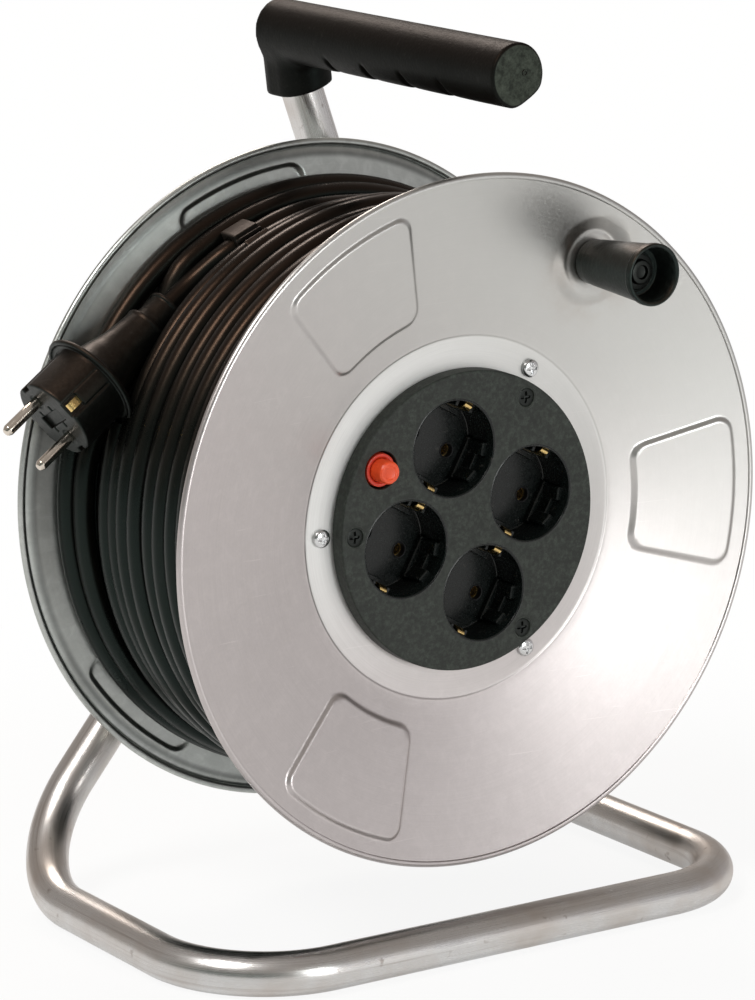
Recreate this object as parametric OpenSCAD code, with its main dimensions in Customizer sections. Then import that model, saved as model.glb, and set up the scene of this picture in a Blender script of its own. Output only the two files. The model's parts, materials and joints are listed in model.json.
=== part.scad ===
// Cable reel: two dished steel flanges on a plastic core, turning on an
// axle that a bent steel tube carries. Millimetres, +Z up, the floor is z = 0.
// The drum axis runs along Y; the socket face looks along -Y. The origin is on
// the floor, below the middle of the drum. Directions around the drum axis are
// degrees from +X towards +Z. Front is -Y, left is -X.

/* [Drum] */
// Height of the drum axis above the floor
axis_h = 175; // [172:1:180]
// Outside distance between the two flange rims
rim_spacing = 127; // [125:1:130]
// Outer radius of a flange
flange_r = 142.5; // [141:0.5:145]
// Sheet thickness of a flange
sheet_t = 1; // [0.8:0.1:1.2]
// Radius of the flat hub area of a flange
hub_r = 75; // [74.5:0.5:76]
// Depth of the hub area below the rim
dish = 14.7; // [14:0.1:15.5]
// Height of the raised fields
field_h = 1.5; // [1:0.1:2]
// Half of the angle that a raised field spans
field_half = 14.3; // [12:0.1:16]
// Direction of the first raised field on the front flange
front_field_a = -0.5; // [-5:0.5:5]
// Direction of the first raised field on the rear flange
rear_field_a = -13.5; // [-20:0.5:-5]

/* [Cable] */
// Diameter of the cable sheath
cable_d = 9; // [8.5:0.1:9.2]
// Outer radius of the wound cable
coil_r = 127; // [124:0.5:128]

/* [Sockets] */
// Radius of the socket plate
plate_r = 62; // [61.5:0.5:63]
// Distance of a socket centre from the drum axis
socket_c = 31.8; // [31.5:0.1:32]
// Direction of the first socket
socket_a = 14.3; // [12:0.1:16]
// Direction of the line through the two pin holes of a socket
pin_line_a = -29; // [-31:0.5:-27]
// Inner radius of a socket recess
recess_r = 19.5; // [19.3:0.1:19.6]
// Depth of a socket recess
recess_d = 17.5; // [17:0.1:18]
// Distance between the two pin holes
pin_pitch = 19; // [19:0.1:19.1]
// Radius of a pin hole
pin_hole_r = 2.7; // [2.6:0.05:2.8]

/* [Frame] */
// Diameter of the frame tube
tube_d = 18; // [17.5:0.5:18.5]
// Wall of the frame tube
tube_wall = 1.5; // [1.2:0.1:2]
// Distance of a side rail from the middle
rail_x = 133.2; // [131:0.1:136]
// Y of the front rail
front_y = -82.85; // [-90:0.05:-80]
// Y of the two risers
riser_y = 87.65; // [87:0.05:90]
// Radius of the bends at the floor
bend_r = 50; // [42:1:54]
// Height of the grip's centre above the floor
grip_z = 362; // [360:0.5:368]

/* [Grip and knob] */
// Diameter of the grip
grip_d = 26.4; // [25:0.1:27]
// Length of the grip in front of the riser
grip_len = 172; // [160:1:176]
// Forward droop of the grip in degrees
grip_droop = 1.1; // [0:0.1:1.5]
// Distance of the crank knob from the drum axis
crank_r = 117.4; // [116:0.1:118]
// Direction of the crank knob
crank_a = 60; // [58:0.5:62]
// Length of the crank knob
knob_len = 40.6; // [38:0.1:42]

/* [Hidden] */
$fn = 64;

// Names ending in _y are Y positions, those ending in _a are directions.
half = rim_spacing / 2;
front_rim = -half;
hub_y = half - dish;            // outer face of the rear hub area
core_y = hub_y - sheet_t - 0.05; // rear end of the core, just inside the sheet
barrel_r = 73;                  // outside of the core
screw_r = 67.7;                 // circle of the flange screws
post_r = 55.6;                  // circle of the plate screws
screw_angles = [60, 180, 300];  // flange screws and plate screws
entry_a = 215;                  // where the cable enters the core
entry_y = 38;
seat_depth = 6;                 // crank seat, below the front rim

zinc = [0.7, 0.7, 0.7];
screw_grey = [0.75, 0.76, 0.78];
brass = [0.80, 0.62, 0.25];
cable_black = [0.05, 0.05, 0.05];

// ---------- helpers ----------
function unit(vector) = vector / norm(vector);
function polar(radius, angle) = radius * [cos(angle), sin(angle)];
// Point at an [x, z] offset from the drum axis
function off_axis(offset, y) = [offset[0], y, axis_h + offset[1]];
function drum_point(radius, angle, y) = off_axis(polar(radius, angle), y);

// Put the children's frame at an origin with the given axes
module at(origin, x, y, z)
  multmatrix([[x[0], y[0], z[0], origin[0]], [x[1], y[1], z[1], origin[1]],
              [x[2], y[2], z[2], origin[2]], [0, 0, 0, 1]]) children();

// In these four, local z runs along +Y, from front to back; local x is X
module along_y(origin) translate(origin) rotate([-90, 0, 0]) children();
module on_axis(y) along_y([0, y, axis_h]) children();
module on_drum(radius, angle, y) along_y(drum_point(radius, angle, y)) children();
module on_circle(radius, angles, y)
  for (angle = angles) on_drum(radius, angle, y) children();

// Origin on the drum axis, local x outwards in the given direction
module along_radius(angle)
  translate([0, 0, axis_h]) rotate([0, -angle, 0]) children();

module rod(start, end, d) {
  z = unit(end - start);
  x = unit(cross(abs(z[2]) < 0.9 ? [0, 0, 1] : [1, 0, 0], z));
  at(start, x, cross(z, x), z) cylinder(h = norm(end - start), d = d);
}

// Round bar along a polyline, with true bends of radius radii[i] at its corners.
// Each bend is a hair thicker than the bar, so that the bar ends inside it.
bend_lap = 0.25;
bend_extra_d = 0.06;
function leg_dir(points, i) = unit(points[i + 1] - points[i]);
function bend_angle(points, i) = acos(leg_dir(points, i - 1) * leg_dir(points, i));
function setback(points, radii, i) = radii[i] * tan(bend_angle(points, i) / 2);
function leg_trim(points, radii, i) =
  (i == 0 || i == len(points) - 1) ? 0 : setback(points, radii, i) - bend_lap;

module path_rod(points, radii, d) {
  for (i = [0 : len(points) - 2]) {
    along = leg_dir(points, i);
    rod(points[i] + along * leg_trim(points, radii, i),
        points[i + 1] - along * leg_trim(points, radii, i + 1), d);
  }
  for (i = [1 : len(points) - 2]) {
    before = leg_dir(points, i - 1);
    after = leg_dir(points, i);
    inward = unit(after - before * (before * after));
    centre = points[i] - before * setback(points, radii, i) + inward * radii[i];
    at(centre, -inward, before, cross(-inward, before))
      rotate_extrude(angle = bend_angle(points, i))
        translate([radii[i], 0]) circle(d = d + bend_extra_d);
  }
}

module ring(outer_r, inner_r, h) difference() {
  cylinder(r = outer_r, h = h);
  translate([0, 0, -1]) cylinder(r = inner_r, h = h + 2);
}

module hex_nut(across_flats, bore_r, h) difference() {
  cylinder(d = across_flats / cos(30), h = h, $fn = 6);
  translate([0, 0, -1]) cylinder(r = bore_r, h = h + 3);
}

// Two crossed slots, as a cutter
module cross_recess(width, z, h) for (angle = [0, 90])
  rotate([0, 0, angle]) translate([-width / 2, -0.45, z]) cube([width, 0.9, h]);

// Head above z = 0, shank below
module pan_screw(head_r, head_h, shank_r, length) difference() {
  union() {
    cylinder(r = head_r, h = head_h * 0.55);
    translate([0, 0, head_h * 0.55])
      cylinder(r1 = head_r, r2 = head_r * 0.62, h = head_h * 0.45);
    translate([0, 0, -length]) cylinder(r = shank_r, h = length + 0.1);
  }
  cross_recess(width = head_r * 1.1, z = head_h * 0.4, h = head_h);
}

// ---------- frame ----------
tube_r = tube_d / 2;
axle_r = 6;
tube_end_gap = 2;               // from the grip's corner down to the tube's end
left_foot = [-rail_x, riser_y, tube_r];
right_foot = [rail_x, riser_y, tube_r];
grip_corner = [0, riser_y, grip_z];
left_dir = unit([0, riser_y, axis_h] - left_foot);
right_dir = unit(grip_corner - right_foot);
// the left riser runs through the drum axis and ends on the right riser
meet_distance = (rail_x * 2) / (left_dir[0] - right_dir[0] * left_dir[2] / right_dir[2]);
meet = left_foot + left_dir * meet_distance;
// point on the right riser, below the grip's corner
function riser_point(distance) = grip_corner - right_dir * distance;

floor_points = [left_foot, [-rail_x, front_y, tube_r], [rail_x, front_y, tube_r], right_foot];
tube_path = concat([meet], floor_points, [riser_point(tube_end_gap)]);
// the bore stops short of the joint and runs just past the upper end
bore_path = concat([meet - left_dir * 13], floor_points, [riser_point(tube_end_gap - 0.01)]);
tube_radii = [0, bend_r, bend_r, bend_r * 0.9, bend_r, 0];

module frame_tube() color([0.62, 0.60, 0.58]) difference() {
  path_rod(tube_path, tube_radii, tube_d);
  path_rod(bore_path, tube_radii, tube_d - 2 * tube_wall);
  on_axis(riser_y - 20) cylinder(r = axle_r + 0.05, h = 40);
  at_handle_screw() translate([0, 0, -14]) cylinder(r = 1.7, h = 18);
}

stub_len = 27;
stub_d = grip_d - 2.4;
stub_front = -9.4;              // the stub's forward extension from the riser
grip_oval = 1.6;                // how much taller than wide the grip is
groove_r = 9;
groove_pitch = 27;
grip_dir = [0, -cos(grip_droop), -sin(grip_droop)];
function grip_point(distance) = grip_corner + grip_dir * distance;

module handle_grip() color([0.09, 0.08, 0.08]) difference() {
  union() {
    // grip: an upright oval
    for (side = [-1, 1]) {
      lift = [0, 0, side * grip_oval / 2];
      rod(grip_corner + lift, grip_point(grip_len) + lift, grip_d - grip_oval);
    }
    translate(grip_corner) sphere(d = grip_d + 0.1);
    // stub around the tube, longer towards the front
    for (y = [0, stub_front])
      rod(grip_corner + [0, y, 0], riser_point(stub_len) + [0, y, 0], stub_d);
    at(grip_corner, unit(cross(right_dir, [0, 1, 0])), [0, 1, 0], -right_dir)
      translate([-stub_d / 2, stub_front, 0]) cube([stub_d, -stub_front, stub_len]);
  }
  // socket for the tube, hollow of the grip, screw hole
  rod(riser_point(tube_end_gap - 0.05), riser_point(stub_len + 5), tube_d + 0.1);
  rod(grip_point(16), grip_point(grip_len - 8), grip_d - 9);
  at_handle_screw() {
    translate([0, 0, -12]) cylinder(r = 1.75, h = 20);
    translate([0, 0, -1.2]) cylinder(r = 3.6, h = 8);
  }
  // finger grooves under the grip
  for (i = [0 : 3])
    translate(grip_point(52 + i * groove_pitch) - [0, 0, grip_d / 2 + groove_r - 0.8])
      rotate([0, 90, 0]) cylinder(r = groove_r, h = grip_d + 4, center = true);
}

// The handle screw enters the stub from behind
module at_handle_screw() along_y(riser_point(17) + [0, stub_d / 2, 0]) children();

module handle_screw() color([0.55, 0.55, 0.55])
  at_handle_screw() translate([0, 0, -1.15])
    pan_screw(head_r = 3.4, head_h = 2, shank_r = 1.6, length = 8);

// ---------- axle ----------
axle_front_y = 20;
axle_chamfer_y = riser_y + 23;
circlip_y = 22;
circlip_t = 1.1;
axle_washer_y = 23.4;
bush_y = 25.2;
bush_flange_t = 3;
spacer_y = hub_y + bush_flange_t + 0.3;
saddle_y = riser_y + 5.5;
saddle_back_y = riser_y + tube_r + 2;
washer_r = 12;
washer_bore_r = axle_r + 0.2;

module axle() color([0.66, 0.66, 0.66]) on_axis(0) difference() {
  union() {
    translate([0, 0, axle_front_y]) cylinder(r = axle_r, h = axle_chamfer_y - axle_front_y);
    translate([0, 0, axle_chamfer_y]) cylinder(r1 = axle_r, r2 = axle_r - 1, h = 1);
  }
  // groove of the circlip
  translate([0, 0, circlip_y - 0.1]) ring(8, 5.4, circlip_t + 0.2);
}

// Washer hollowed to the shape of the riser
module axle_saddle_washer() color([0.6, 0.6, 0.6]) difference() {
  on_axis(saddle_y) ring(washer_r, washer_bore_r, saddle_back_y - saddle_y);
  rod(left_foot, meet, tube_d + 0.1);
}

module axle_nut() color([0.62, 0.62, 0.62]) on_axis(saddle_back_y + 0.05)
  hex_nut(across_flats = 19, bore_r = axle_r + 0.05, h = 9.5);

module axle_spacer() color([0.2, 0.2, 0.2])
  on_axis(spacer_y) ring(10, axle_r + 0.15, riser_y - tube_r - spacer_y - 0.15);

module axle_washer() color([0.6, 0.6, 0.6])
  on_axis(axle_washer_y) ring(washer_r, washer_bore_r, 1.5);

module axle_circlip() color([0.35, 0.35, 0.35]) on_axis(circlip_y) difference() {
  ring(9, 5.5, circlip_t);
  translate([0, -2, -1]) cube([12, 4, 4]);
}

// ---------- flanges ----------
// Drawn with the rim plane at z = 0 and the inside of the drum towards +z
bead_r = 1.6;                   // rolled rim
cone_r = flange_r - 2.6;        // where the cone meets the rolled rim
cone_edge = 1;                  // depth of the cone there
lip_edge = 0.6;                 // depth of the sheet inside the rolled rim
slope = (dish - cone_edge) / (cone_r - hub_r);
field_inner_r = 86.5;
field_outer_r = 133.5;
seat_r = 14.5;                  // crank seat
seat_reach = 17;                // radial reach of the step around it

// Depth of a flange's outer face below the rim plane
function cone_depth(radius) = radius < hub_r ? dish : cone_edge + (cone_r - radius) * slope;

// Section that follows the cone, from one offset to another
function field_profile(inner_r, outer_r, near, far) = [
  [inner_r, cone_depth(inner_r) + near], [outer_r, cone_depth(outer_r) + near],
  [outer_r, cone_depth(outer_r) + far], [inner_r, cone_depth(inner_r) + far]];

// The three raised fields, or their hollows; side_cut narrows each side, in degrees
module fields(profile, first_a, side_cut) for (k = [0 : 2])
  rotate([0, 0, first_a + 120 * k - field_half + side_cut])
    rotate_extrude(angle = 2 * (field_half - side_cut)) polygon(profile);

module flange_sheet(hole_r, first_a) difference() {
  union() {
    rotate_extrude($fn = 180) polygon([[hole_r, dish], [hub_r, dish],
      [cone_r, cone_edge], [cone_r + 1, lip_edge], [cone_r + 1, lip_edge + sheet_t],
      [cone_r, cone_edge + sheet_t], [hub_r, dish + sheet_t], [hole_r, dish + sheet_t]]);
    rotate_extrude($fn = 180)
      translate([flange_r - bead_r, bead_r]) circle(r = bead_r, $fn = 32);
    fields(field_profile(field_inner_r, field_outer_r, -field_h, sheet_t * 0.5), first_a, 0);
  }
  fields(field_profile(field_inner_r + sheet_t, field_outer_r - sheet_t,
    sheet_t - field_h, sheet_t + 1), first_a, 0.6);
  for (angle = screw_angles)
    rotate([0, 0, angle]) translate([screw_r, 0, dish - 2]) cylinder(r = 2.1, h = 6);
}

module at_seat(z) rotate([0, 0, crank_a]) translate([crank_r, 0, z]) children();

module front_flange() color([0.78, 0.74, 0.74])
  on_axis(front_rim) mirror([0, 1, 0]) difference() {
    union() {
      difference() {
        flange_sheet(59.5, front_field_a);
        at_seat(-2) cylinder(r = seat_r - sheet_t, h = 20);
      }
      // flat seat of the crank and the step around it
      at_seat(seat_depth) cylinder(r = seat_r, h = sheet_t);
      intersection() {
        at_seat(-2) ring(seat_r, seat_r - sheet_t, 20);
        rotate_extrude($fn = 180) polygon([
          [crank_r - seat_reach, seat_depth],
          [crank_r + seat_reach, seat_depth + sheet_t],
          [crank_r + seat_reach, cone_depth(crank_r + seat_reach)],
          [crank_r, cone_depth(crank_r)],
          [crank_r, cone_depth(crank_r) + sheet_t],
          [crank_r - seat_reach, cone_depth(crank_r - seat_reach) + sheet_t]]);
      }
    }
    at_seat(0) cylinder(r = 3.2, h = 20);
  }

module rear_flange() color([0.70, 0.71, 0.68])
  translate([0, half, axis_h]) rotate([90, 0, 0]) flange_sheet(10.3, rear_field_a);

// side is -1 for the front flange, 1 for the rear one
module flange_screws(side) for (angle = screw_angles)
  translate(drum_point(screw_r, angle, side * hub_y))
    rotate([-90 * side, 0, 0]) rotate([0, 0, angle * 2 + 20])
      pan_screw(head_r = 3.9, head_h = 2.8, shank_r = 1.9, length = 11);

module front_flange_screws() color(screw_grey) flange_screws(-1);
module rear_flange_screws() color(screw_grey) flange_screws(1);

// ---------- core of the drum ----------
boss_len = 16;
pedestal_y = entry_y + 4.8;

module drum_core() color([0.12, 0.12, 0.13]) difference() {
  union() {
    on_axis(-core_y) ring(barrel_r, barrel_r - 3, 2 * core_y);
    on_axis(core_y - 3) cylinder(r = barrel_r - 1, h = 3);
    on_axis(core_y - 21) cylinder(r = 14, h = 20);
    for (y = [-core_y, core_y - boss_len])
      on_circle(screw_r - 0.7, screw_angles, y) cylinder(r = 4.6, h = boss_len);
    // posts of the plate screws, with a web to the barrel
    on_circle(post_r, screw_angles, -core_y) cylinder(r = 4, h = 30);
    for (angle = screw_angles) along_radius(angle)
      translate([post_r, -core_y + 0.5, -1.5]) cube([barrel_r - 2 - post_r, 29, 3]);
    // pedestal behind the cable, at the entry
    along_radius(entry_a)
      translate([50, pedestal_y, -15]) cube([13, core_y - 1.5 - pedestal_y, 30]);
  }
  on_axis(10) cylinder(r = 10.02, h = 60);
  for (y = [-core_y - 1, core_y - 12])
    on_circle(screw_r, screw_angles, y) cylinder(r = 1.95, h = 13);
  on_circle(post_r, screw_angles, -core_y - 1) cylinder(r = 1.55, h = 24);
  // cable entry
  rod(drum_point(64, entry_a, entry_y), drum_point(78, entry_a, entry_y), cable_d + 0.6);
  at_strain_screws(entry_y + 2) cylinder(r = 1.55, h = 30);
}

module hub_bush() color([0.85, 0.84, 0.80]) on_axis(0) difference() {
  union() {
    translate([0, 0, bush_y]) cylinder(r = 10, h = hub_y - bush_y + 0.05);
    translate([0, 0, hub_y + 0.02]) cylinder(r = 17, h = bush_flange_t);
  }
  translate([0, 0, 20]) cylinder(r = axle_r + 0.05, h = 60);
}

// ---------- socket plate ----------
plate_depth = 7.8;              // face of the plate, below the front rim
skirt_len = dish - plate_depth - 0.03;
face_y = front_rim + plate_depth;
floor_y = face_y + recess_d;    // floor of the recesses
recess_floor_t = 2.2;
recess_back = recess_d + recess_floor_t;
earth_line_a = pin_line_a + 90; // line through the two earth contacts of a socket
button_c = 50.5;                // distance of the button from the drum axis
button_a = 149;
cover_screw_r = 45;             // circle of the cover screws
cover_angles = [socket_a + 45, socket_a + 225];

function sockets_dir(k) = socket_a + 90 * k;
// [x, z] offset of a pin hole from the drum axis; side is -1 or 1
function pin_offset(k, side) =
  polar(socket_c, sockets_dir(k)) + side * polar(pin_pitch / 2, pin_line_a);
module on_socket(k, y) on_drum(socket_c, sockets_dir(k), y) children();
module on_pin(k, side, y) along_y(off_axis(pin_offset(k, side), y)) children();
module on_button(y) on_drum(button_c, button_a, y) children();

module plate_shell() difference() {
  union() {
    // face with rounded edge, and skirt down to the flange
    on_axis(face_y) rotate_extrude($fn = 128) polygon([[0, 0],
      [plate_r - 1.2, 0], [plate_r - 0.35, 0.35], [plate_r, 1.2], [plate_r, skirt_len],
      [plate_r - 3, skirt_len], [plate_r - 3, 3], [0, 3]]);
    for (k = [0 : 3]) on_socket(k, face_y) cylinder(r = recess_r + 2, h = recess_back);
    on_circle(cover_screw_r, cover_angles, face_y) cylinder(r = 4, h = recess_back);
    on_circle(post_r, screw_angles, face_y)
      cylinder(r = 3.7, h = dish + sheet_t - plate_depth + 0.02);
  }
  for (k = [0 : 3]) {
    on_socket(k, face_y - 1) cylinder(r = recess_r, h = recess_d + 1);
    on_socket(k, face_y - 0.01) cylinder(r1 = recess_r + 0.7, r2 = recess_r, h = 0.9);
    for (side = [-1, 1]) {
      on_pin(k, side, floor_y - 1) cylinder(r = pin_hole_r, h = 6);
      // slot for an earth contact
      on_socket(k, floor_y - 1) rotate([0, 0, -earth_line_a])
        translate([side * 17.95 - 1.05, -3, 0]) cube([2.1, 6, 6]);
    }
  }
  on_circle(post_r, screw_angles, face_y - 1) cylinder(r = 1.9, h = 20);
  on_circle(post_r, screw_angles, face_y - 0.01) cylinder(r1 = 3.9, r2 = 1.9, h = 2.2);
  on_circle(cover_screw_r, cover_angles, face_y + 6) cylinder(r = 1.55, h = 30);
  on_button(front_rim) cylinder(r = 7.7, h = 20);
}

// Two guide ribs stand in every recess, in line with the pins
module plate_ribs() for (k = [0 : 3], turn = [0, 180])
  on_socket(k, face_y + 4) rotate([0, 0, turn - pin_line_a]) intersection() {
    translate([recess_r - 2, -2.2, 0]) cube([3, 4.4, recess_d - 3]);
    cylinder(r = recess_r + 1, h = recess_d);
  }

module socket_plate() color([0.10, 0.11, 0.11]) {
  plate_shell();
  plate_ribs();
}

module plate_screws() color([0.07, 0.07, 0.07]) for (angle = screw_angles)
  on_drum(post_r, angle, face_y + 0.3) rotate([0, 0, angle]) difference() {
    union() {
      cylinder(r1 = 3.6, r2 = 1.5, h = 2.1);
      cylinder(r = 1.5, h = 24);
    }
    cross_recess(width = 4, z = -1, h = 2.2);
  }

// ---------- contacts ----------
inside_y = floor_y + 2.5;       // where the contact sleeves and the cover begin
live_y = front_rim + 42;
neutral_y = front_rim + 47;
earth_y = front_rim + 28;
bus_t = 1.2;
earth_t = 1;

function middle(first, second) = (first + second) / 2;
// Pins of one side, in the order in which the bus joins them: 0 to 1 and 2 to 3
function bus_pins(side) = [for (i = [0 : 3]) pin_offset(((side > 0 ? 1 : 3) + i) % 4, side)];

// Flat bar between two [x, z] offsets from the drum axis
module strip(from, to, width, y) {
  start = off_axis(from, y);
  end = off_axis(to, y);
  along = unit(end - start);
  at(start, along, cross([0, 1, 0], along), [0, 1, 0])
    translate([0, -width / 2, 0]) cube([norm(end - start), width, bus_t]);
}

module bus(side, y) {
  pins = bus_pins(side);
  difference() {
    union() {
      for (k = [0 : 3]) on_pin(k, side, inside_y) cylinder(r = 3.3, h = y + bus_t - inside_y);
      for (i = [0, 2]) strip(pins[i], pins[i + 1], 6, y);
      strip(middle(pins[0], pins[1]), middle(pins[2], pins[3]), 5, y);
    }
    for (k = [0 : 3]) on_pin(k, side, floor_y) cylinder(r = 2.45, h = 40);
  }
}

module live_contacts() color(brass) bus(1, live_y);
module neutral_contacts() color(brass) bus(-1, neutral_y);

// A ring through the socket centres, with a two-pronged bar in every socket
module earth_contacts() color([0.82, 0.65, 0.28]) union() {
  on_axis(earth_y) ring(socket_c + 1.4, socket_c - 1.4, earth_t);
  for (k = [0 : 3]) on_socket(k, earth_y) rotate([0, 0, -earth_line_a]) {
    translate([-18.3, -2.5, 0]) cube([36.6, 5, earth_t]);
    for (side = [-1, 1])
      translate([side * 17.8 - earth_t / 2, -2.5, -16.5]) cube([earth_t, 5, 17]);
  }
}

// [x, z] offsets of the wire ends from the drum axis
live_tap = middle(bus_pins(1)[2], bus_pins(1)[3]);
neutral_tap = middle(bus_pins(-1)[2], bus_pins(-1)[3]);
earth_tap = polar(socket_c, 240);
cutout_in = polar(button_c, button_a) - [2.6, 1];
cutout_out = polar(button_c, button_a) + [2.6, 1];

cover_len = 27;
cover_r = 51;
lobe_r = 8.4;                   // bulge of the cover around the cut-out

module contact_cover() color([0.16, 0.16, 0.17]) difference() {
  union() {
    on_axis(inside_y) cylinder(r = cover_r, h = cover_len);
    on_button(inside_y) cylinder(r = lobe_r, h = cover_len);
  }
  difference() {
    union() {
      on_axis(floor_y) cylinder(r = cover_r - 2, h = cover_len + 0.5);
      on_button(floor_y) cylinder(r = lobe_r - 1.4, h = cover_len + 0.5);
    }
    on_circle(cover_screw_r, cover_angles, floor_y) cylinder(r = 3.6, h = 29);
  }
  on_circle(cover_screw_r, cover_angles, floor_y) cylinder(r = 1.7, h = 40);
  // wire holes
  for (offset = [live_tap, neutral_tap, earth_tap, cutout_out, cutout_in])
    along_y(off_axis(offset, floor_y + 20)) cylinder(r = 2.3, h = 20);
}

module cover_screws() color(zinc)
  on_circle(cover_screw_r, cover_angles, inside_y + cover_len + 0.05)
    pan_screw(head_r = 3, head_h = 2.2, shank_r = 1.5, length = 30);

// ---------- overload cut-out ----------
cutout_len = 46;                // from the front rim to the back of the cut-out
cutout_body = plate_depth + 2;  // depth where its narrower body begins

module thermal_cutout() color([0.75, 0.13, 0.07]) on_button(front_rim) difference() {
  union() {
    translate([0, 0, plate_depth - 0.8]) cylinder(r = 7.4, h = 3.6);
    translate([0, 0, cutout_body]) cylinder(r = 6.5, h = cutout_len - cutout_body);
  }
  translate([0, 0, -1]) cylinder(r = 4.85, h = 25);
}

// Round button: stands proud of the plate, guided in the cut-out's bore
module reset_button() color([0.93, 0.26, 0.12]) on_button(front_rim) union() {
  cylinder(r = 4.8, h = 14.5);
  translate([0, 0, -1.2]) cylinder(r1 = 4.2, r2 = 4.8, h = 1.2);
}

// Spring behind the button, drawn as four separate rings
module button_spring() color([0.7, 0.7, 0.72]) on_button(front_rim) for (i = [0 : 3])
  translate([0, 0, 18.35 + i * 1.6])
    rotate_extrude() translate([3.4, 0]) circle(r = 0.45, $fn = 16);

// ---------- wires inside ----------
wire_d = 3;
wire_bend_r = 7;
wire_start_r = 47.8;            // the wires start at the cable's inner end
cutout_wire_y = front_rim + cutout_len + 0.1;

module wire(points) path_rod(points, [for (point = points) wire_bend_r], wire_d);

module live_wire() color([0.42, 0.24, 0.12]) wire([
  drum_point(wire_start_r, entry_a - 4.5, entry_y),
  drum_point(34, entry_a - 8, entry_y - 2),
  drum_point(43, 190, 12),
  off_axis(cutout_in, -2),
  off_axis(cutout_in, cutout_wire_y)]);

// From the cut-out to the live contacts
module cutout_link() color([0.12, 0.12, 0.12]) wire([
  off_axis(cutout_out, cutout_wire_y),
  off_axis(cutout_out, -1),
  off_axis([-18, 24], 8),
  off_axis([24, 10], 8),
  off_axis(live_tap, -2),
  off_axis(live_tap, live_y + bus_t + 0.1)]);

module neutral_wire() color([0.13, 0.25, 0.62]) wire([
  drum_point(wire_start_r, entry_a, entry_y - 3.2),
  drum_point(32, entry_a, entry_y - 6),
  drum_point(26, 185, 14),
  off_axis(neutral_tap, 0),
  off_axis(neutral_tap, neutral_y + bus_t + 0.1)]);

module earth_wire() color([0.35, 0.55, 0.15]) wire([
  drum_point(wire_start_r, entry_a + 4.5, entry_y),
  drum_point(34, entry_a + 10, entry_y - 2),
  off_axis(earth_tap, 12),
  off_axis(earth_tap, earth_y + earth_t + 0.1)]);

// ---------- cable entry ----------
strain_front_y = entry_y - 7.5;
cable_bore_d = cable_d + 0.06;

module at_strain_screws(y) for (side = [-1, 1])
  along_radius(entry_a) translate([56.5, y, side * 10.5]) rotate([-90, 0, 0]) children();

module cable_inner_end() color(cable_black)
  rod(drum_point(48, entry_a, entry_y), drum_point(barrel_r - 0.2, entry_a, entry_y), cable_d);

// Block over the cable, open towards the pedestal
module strain_relief() color([0.14, 0.14, 0.14]) difference() {
  along_radius(entry_a) translate([51, strain_front_y, -14.5]) cube([11, 12.2, 29]);
  rod(drum_point(45, entry_a, entry_y), drum_point(70, entry_a, entry_y), cable_bore_d);
  along_radius(entry_a)
    translate([45, entry_y, -cable_bore_d / 2]) cube([25, 10, cable_bore_d]);
  at_strain_screws(entry_y - 10) cylinder(r = 1.6, h = 30);
}

module strain_relief_screws() color(zinc)
  at_strain_screws(strain_front_y - 0.05) rotate([180, 0, 0])
    pan_screw(head_r = 2.9, head_h = 2.2, shank_r = 1.5, length = 13);

// ---------- wound cable and its free end ----------
// plug: the middle of its pin face, its outward axis and its pin line
plug_face = off_axis([-142.3, 42.2], 32.35);
plug_axis = unit([-0.8187, -0.0885, -0.567]);
pin_line_rough = [0.551, -0.398, -0.733];
plug_pin_line = unit(pin_line_rough - plug_axis * (pin_line_rough * plug_axis));
plug_len = 70;
// point on the plug's axis, behind its face
function plug_point(distance) = plug_face - plug_axis * distance;

// clip: its place on the cable, the cable's direction there, outwards and across
clip_centre = off_axis([-51, 106.6], 33.65);
clip_along = unit([-0.902, 0.05, -0.432]);
clip_radial = [clip_centre[0], 0, clip_centre[2] - axis_h];
clip_out = unit(clip_radial - clip_along * (clip_radial * clip_along));
clip_across = cross(clip_along, clip_out);
clip_len = 12;
clip_wall = 1.6;
clip_pitch = cable_d + clip_wall;

tail = [drum_point(118.3, 86, 31), clip_centre - clip_along * 27,
        clip_centre + clip_along * 10, plug_point(86), plug_point(plug_len - 14)];
tail_radii = [0, 80, 34, 34, 0];

module cable_tail() color(cable_black) path_rod(tail, tail_radii, cable_d);

coil_inner_r = barrel_r + 0.2;
coil_inner_y = hub_y - sheet_t - 0.4;
coil_outer_y = half - (cone_depth(coil_r) + sheet_t + 0.4);

// The wound cable as one solid body that fills the space between the flanges
module cable_coil() color([0.04, 0.04, 0.04]) difference() {
  on_axis(0) rotate_extrude($fn = 128) polygon([[coil_inner_r, -coil_inner_y],
    [hub_r, -coil_inner_y], [coil_r, -coil_outer_y], [coil_r, coil_outer_y],
    [hub_r, coil_inner_y], [coil_inner_r, coil_inner_y]]);
  // room for the crank nut
  on_drum(crank_r, crank_a, front_rim) cylinder(r = 16.5, h = 16);
  // room for the free end and its clip
  on_axis(24) rotate([0, 0, -119])
    rotate_extrude(angle = 36) translate([113.4, 0]) square([20, 15]);
  rod(drum_point(120, 108, 33), tail[2] + clip_along * 3, 14);
  at(clip_centre, clip_along, clip_out, clip_across)
    translate([-8, -7, -19]) cube([16, 20, 28]);
  rod(tail[2] - clip_along * 4, tail[3], 13);
  // room for the plug
  rod(plug_point(89), plug_point(60), 12.6);
  rod(plug_point(plug_len + 6), plug_point(plug_len - 16), 20.3);
  rod(plug_point(plug_len - 15), plug_point(26), 30);
  rod(plug_point(31), plug_point(-4), 43);
}

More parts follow.
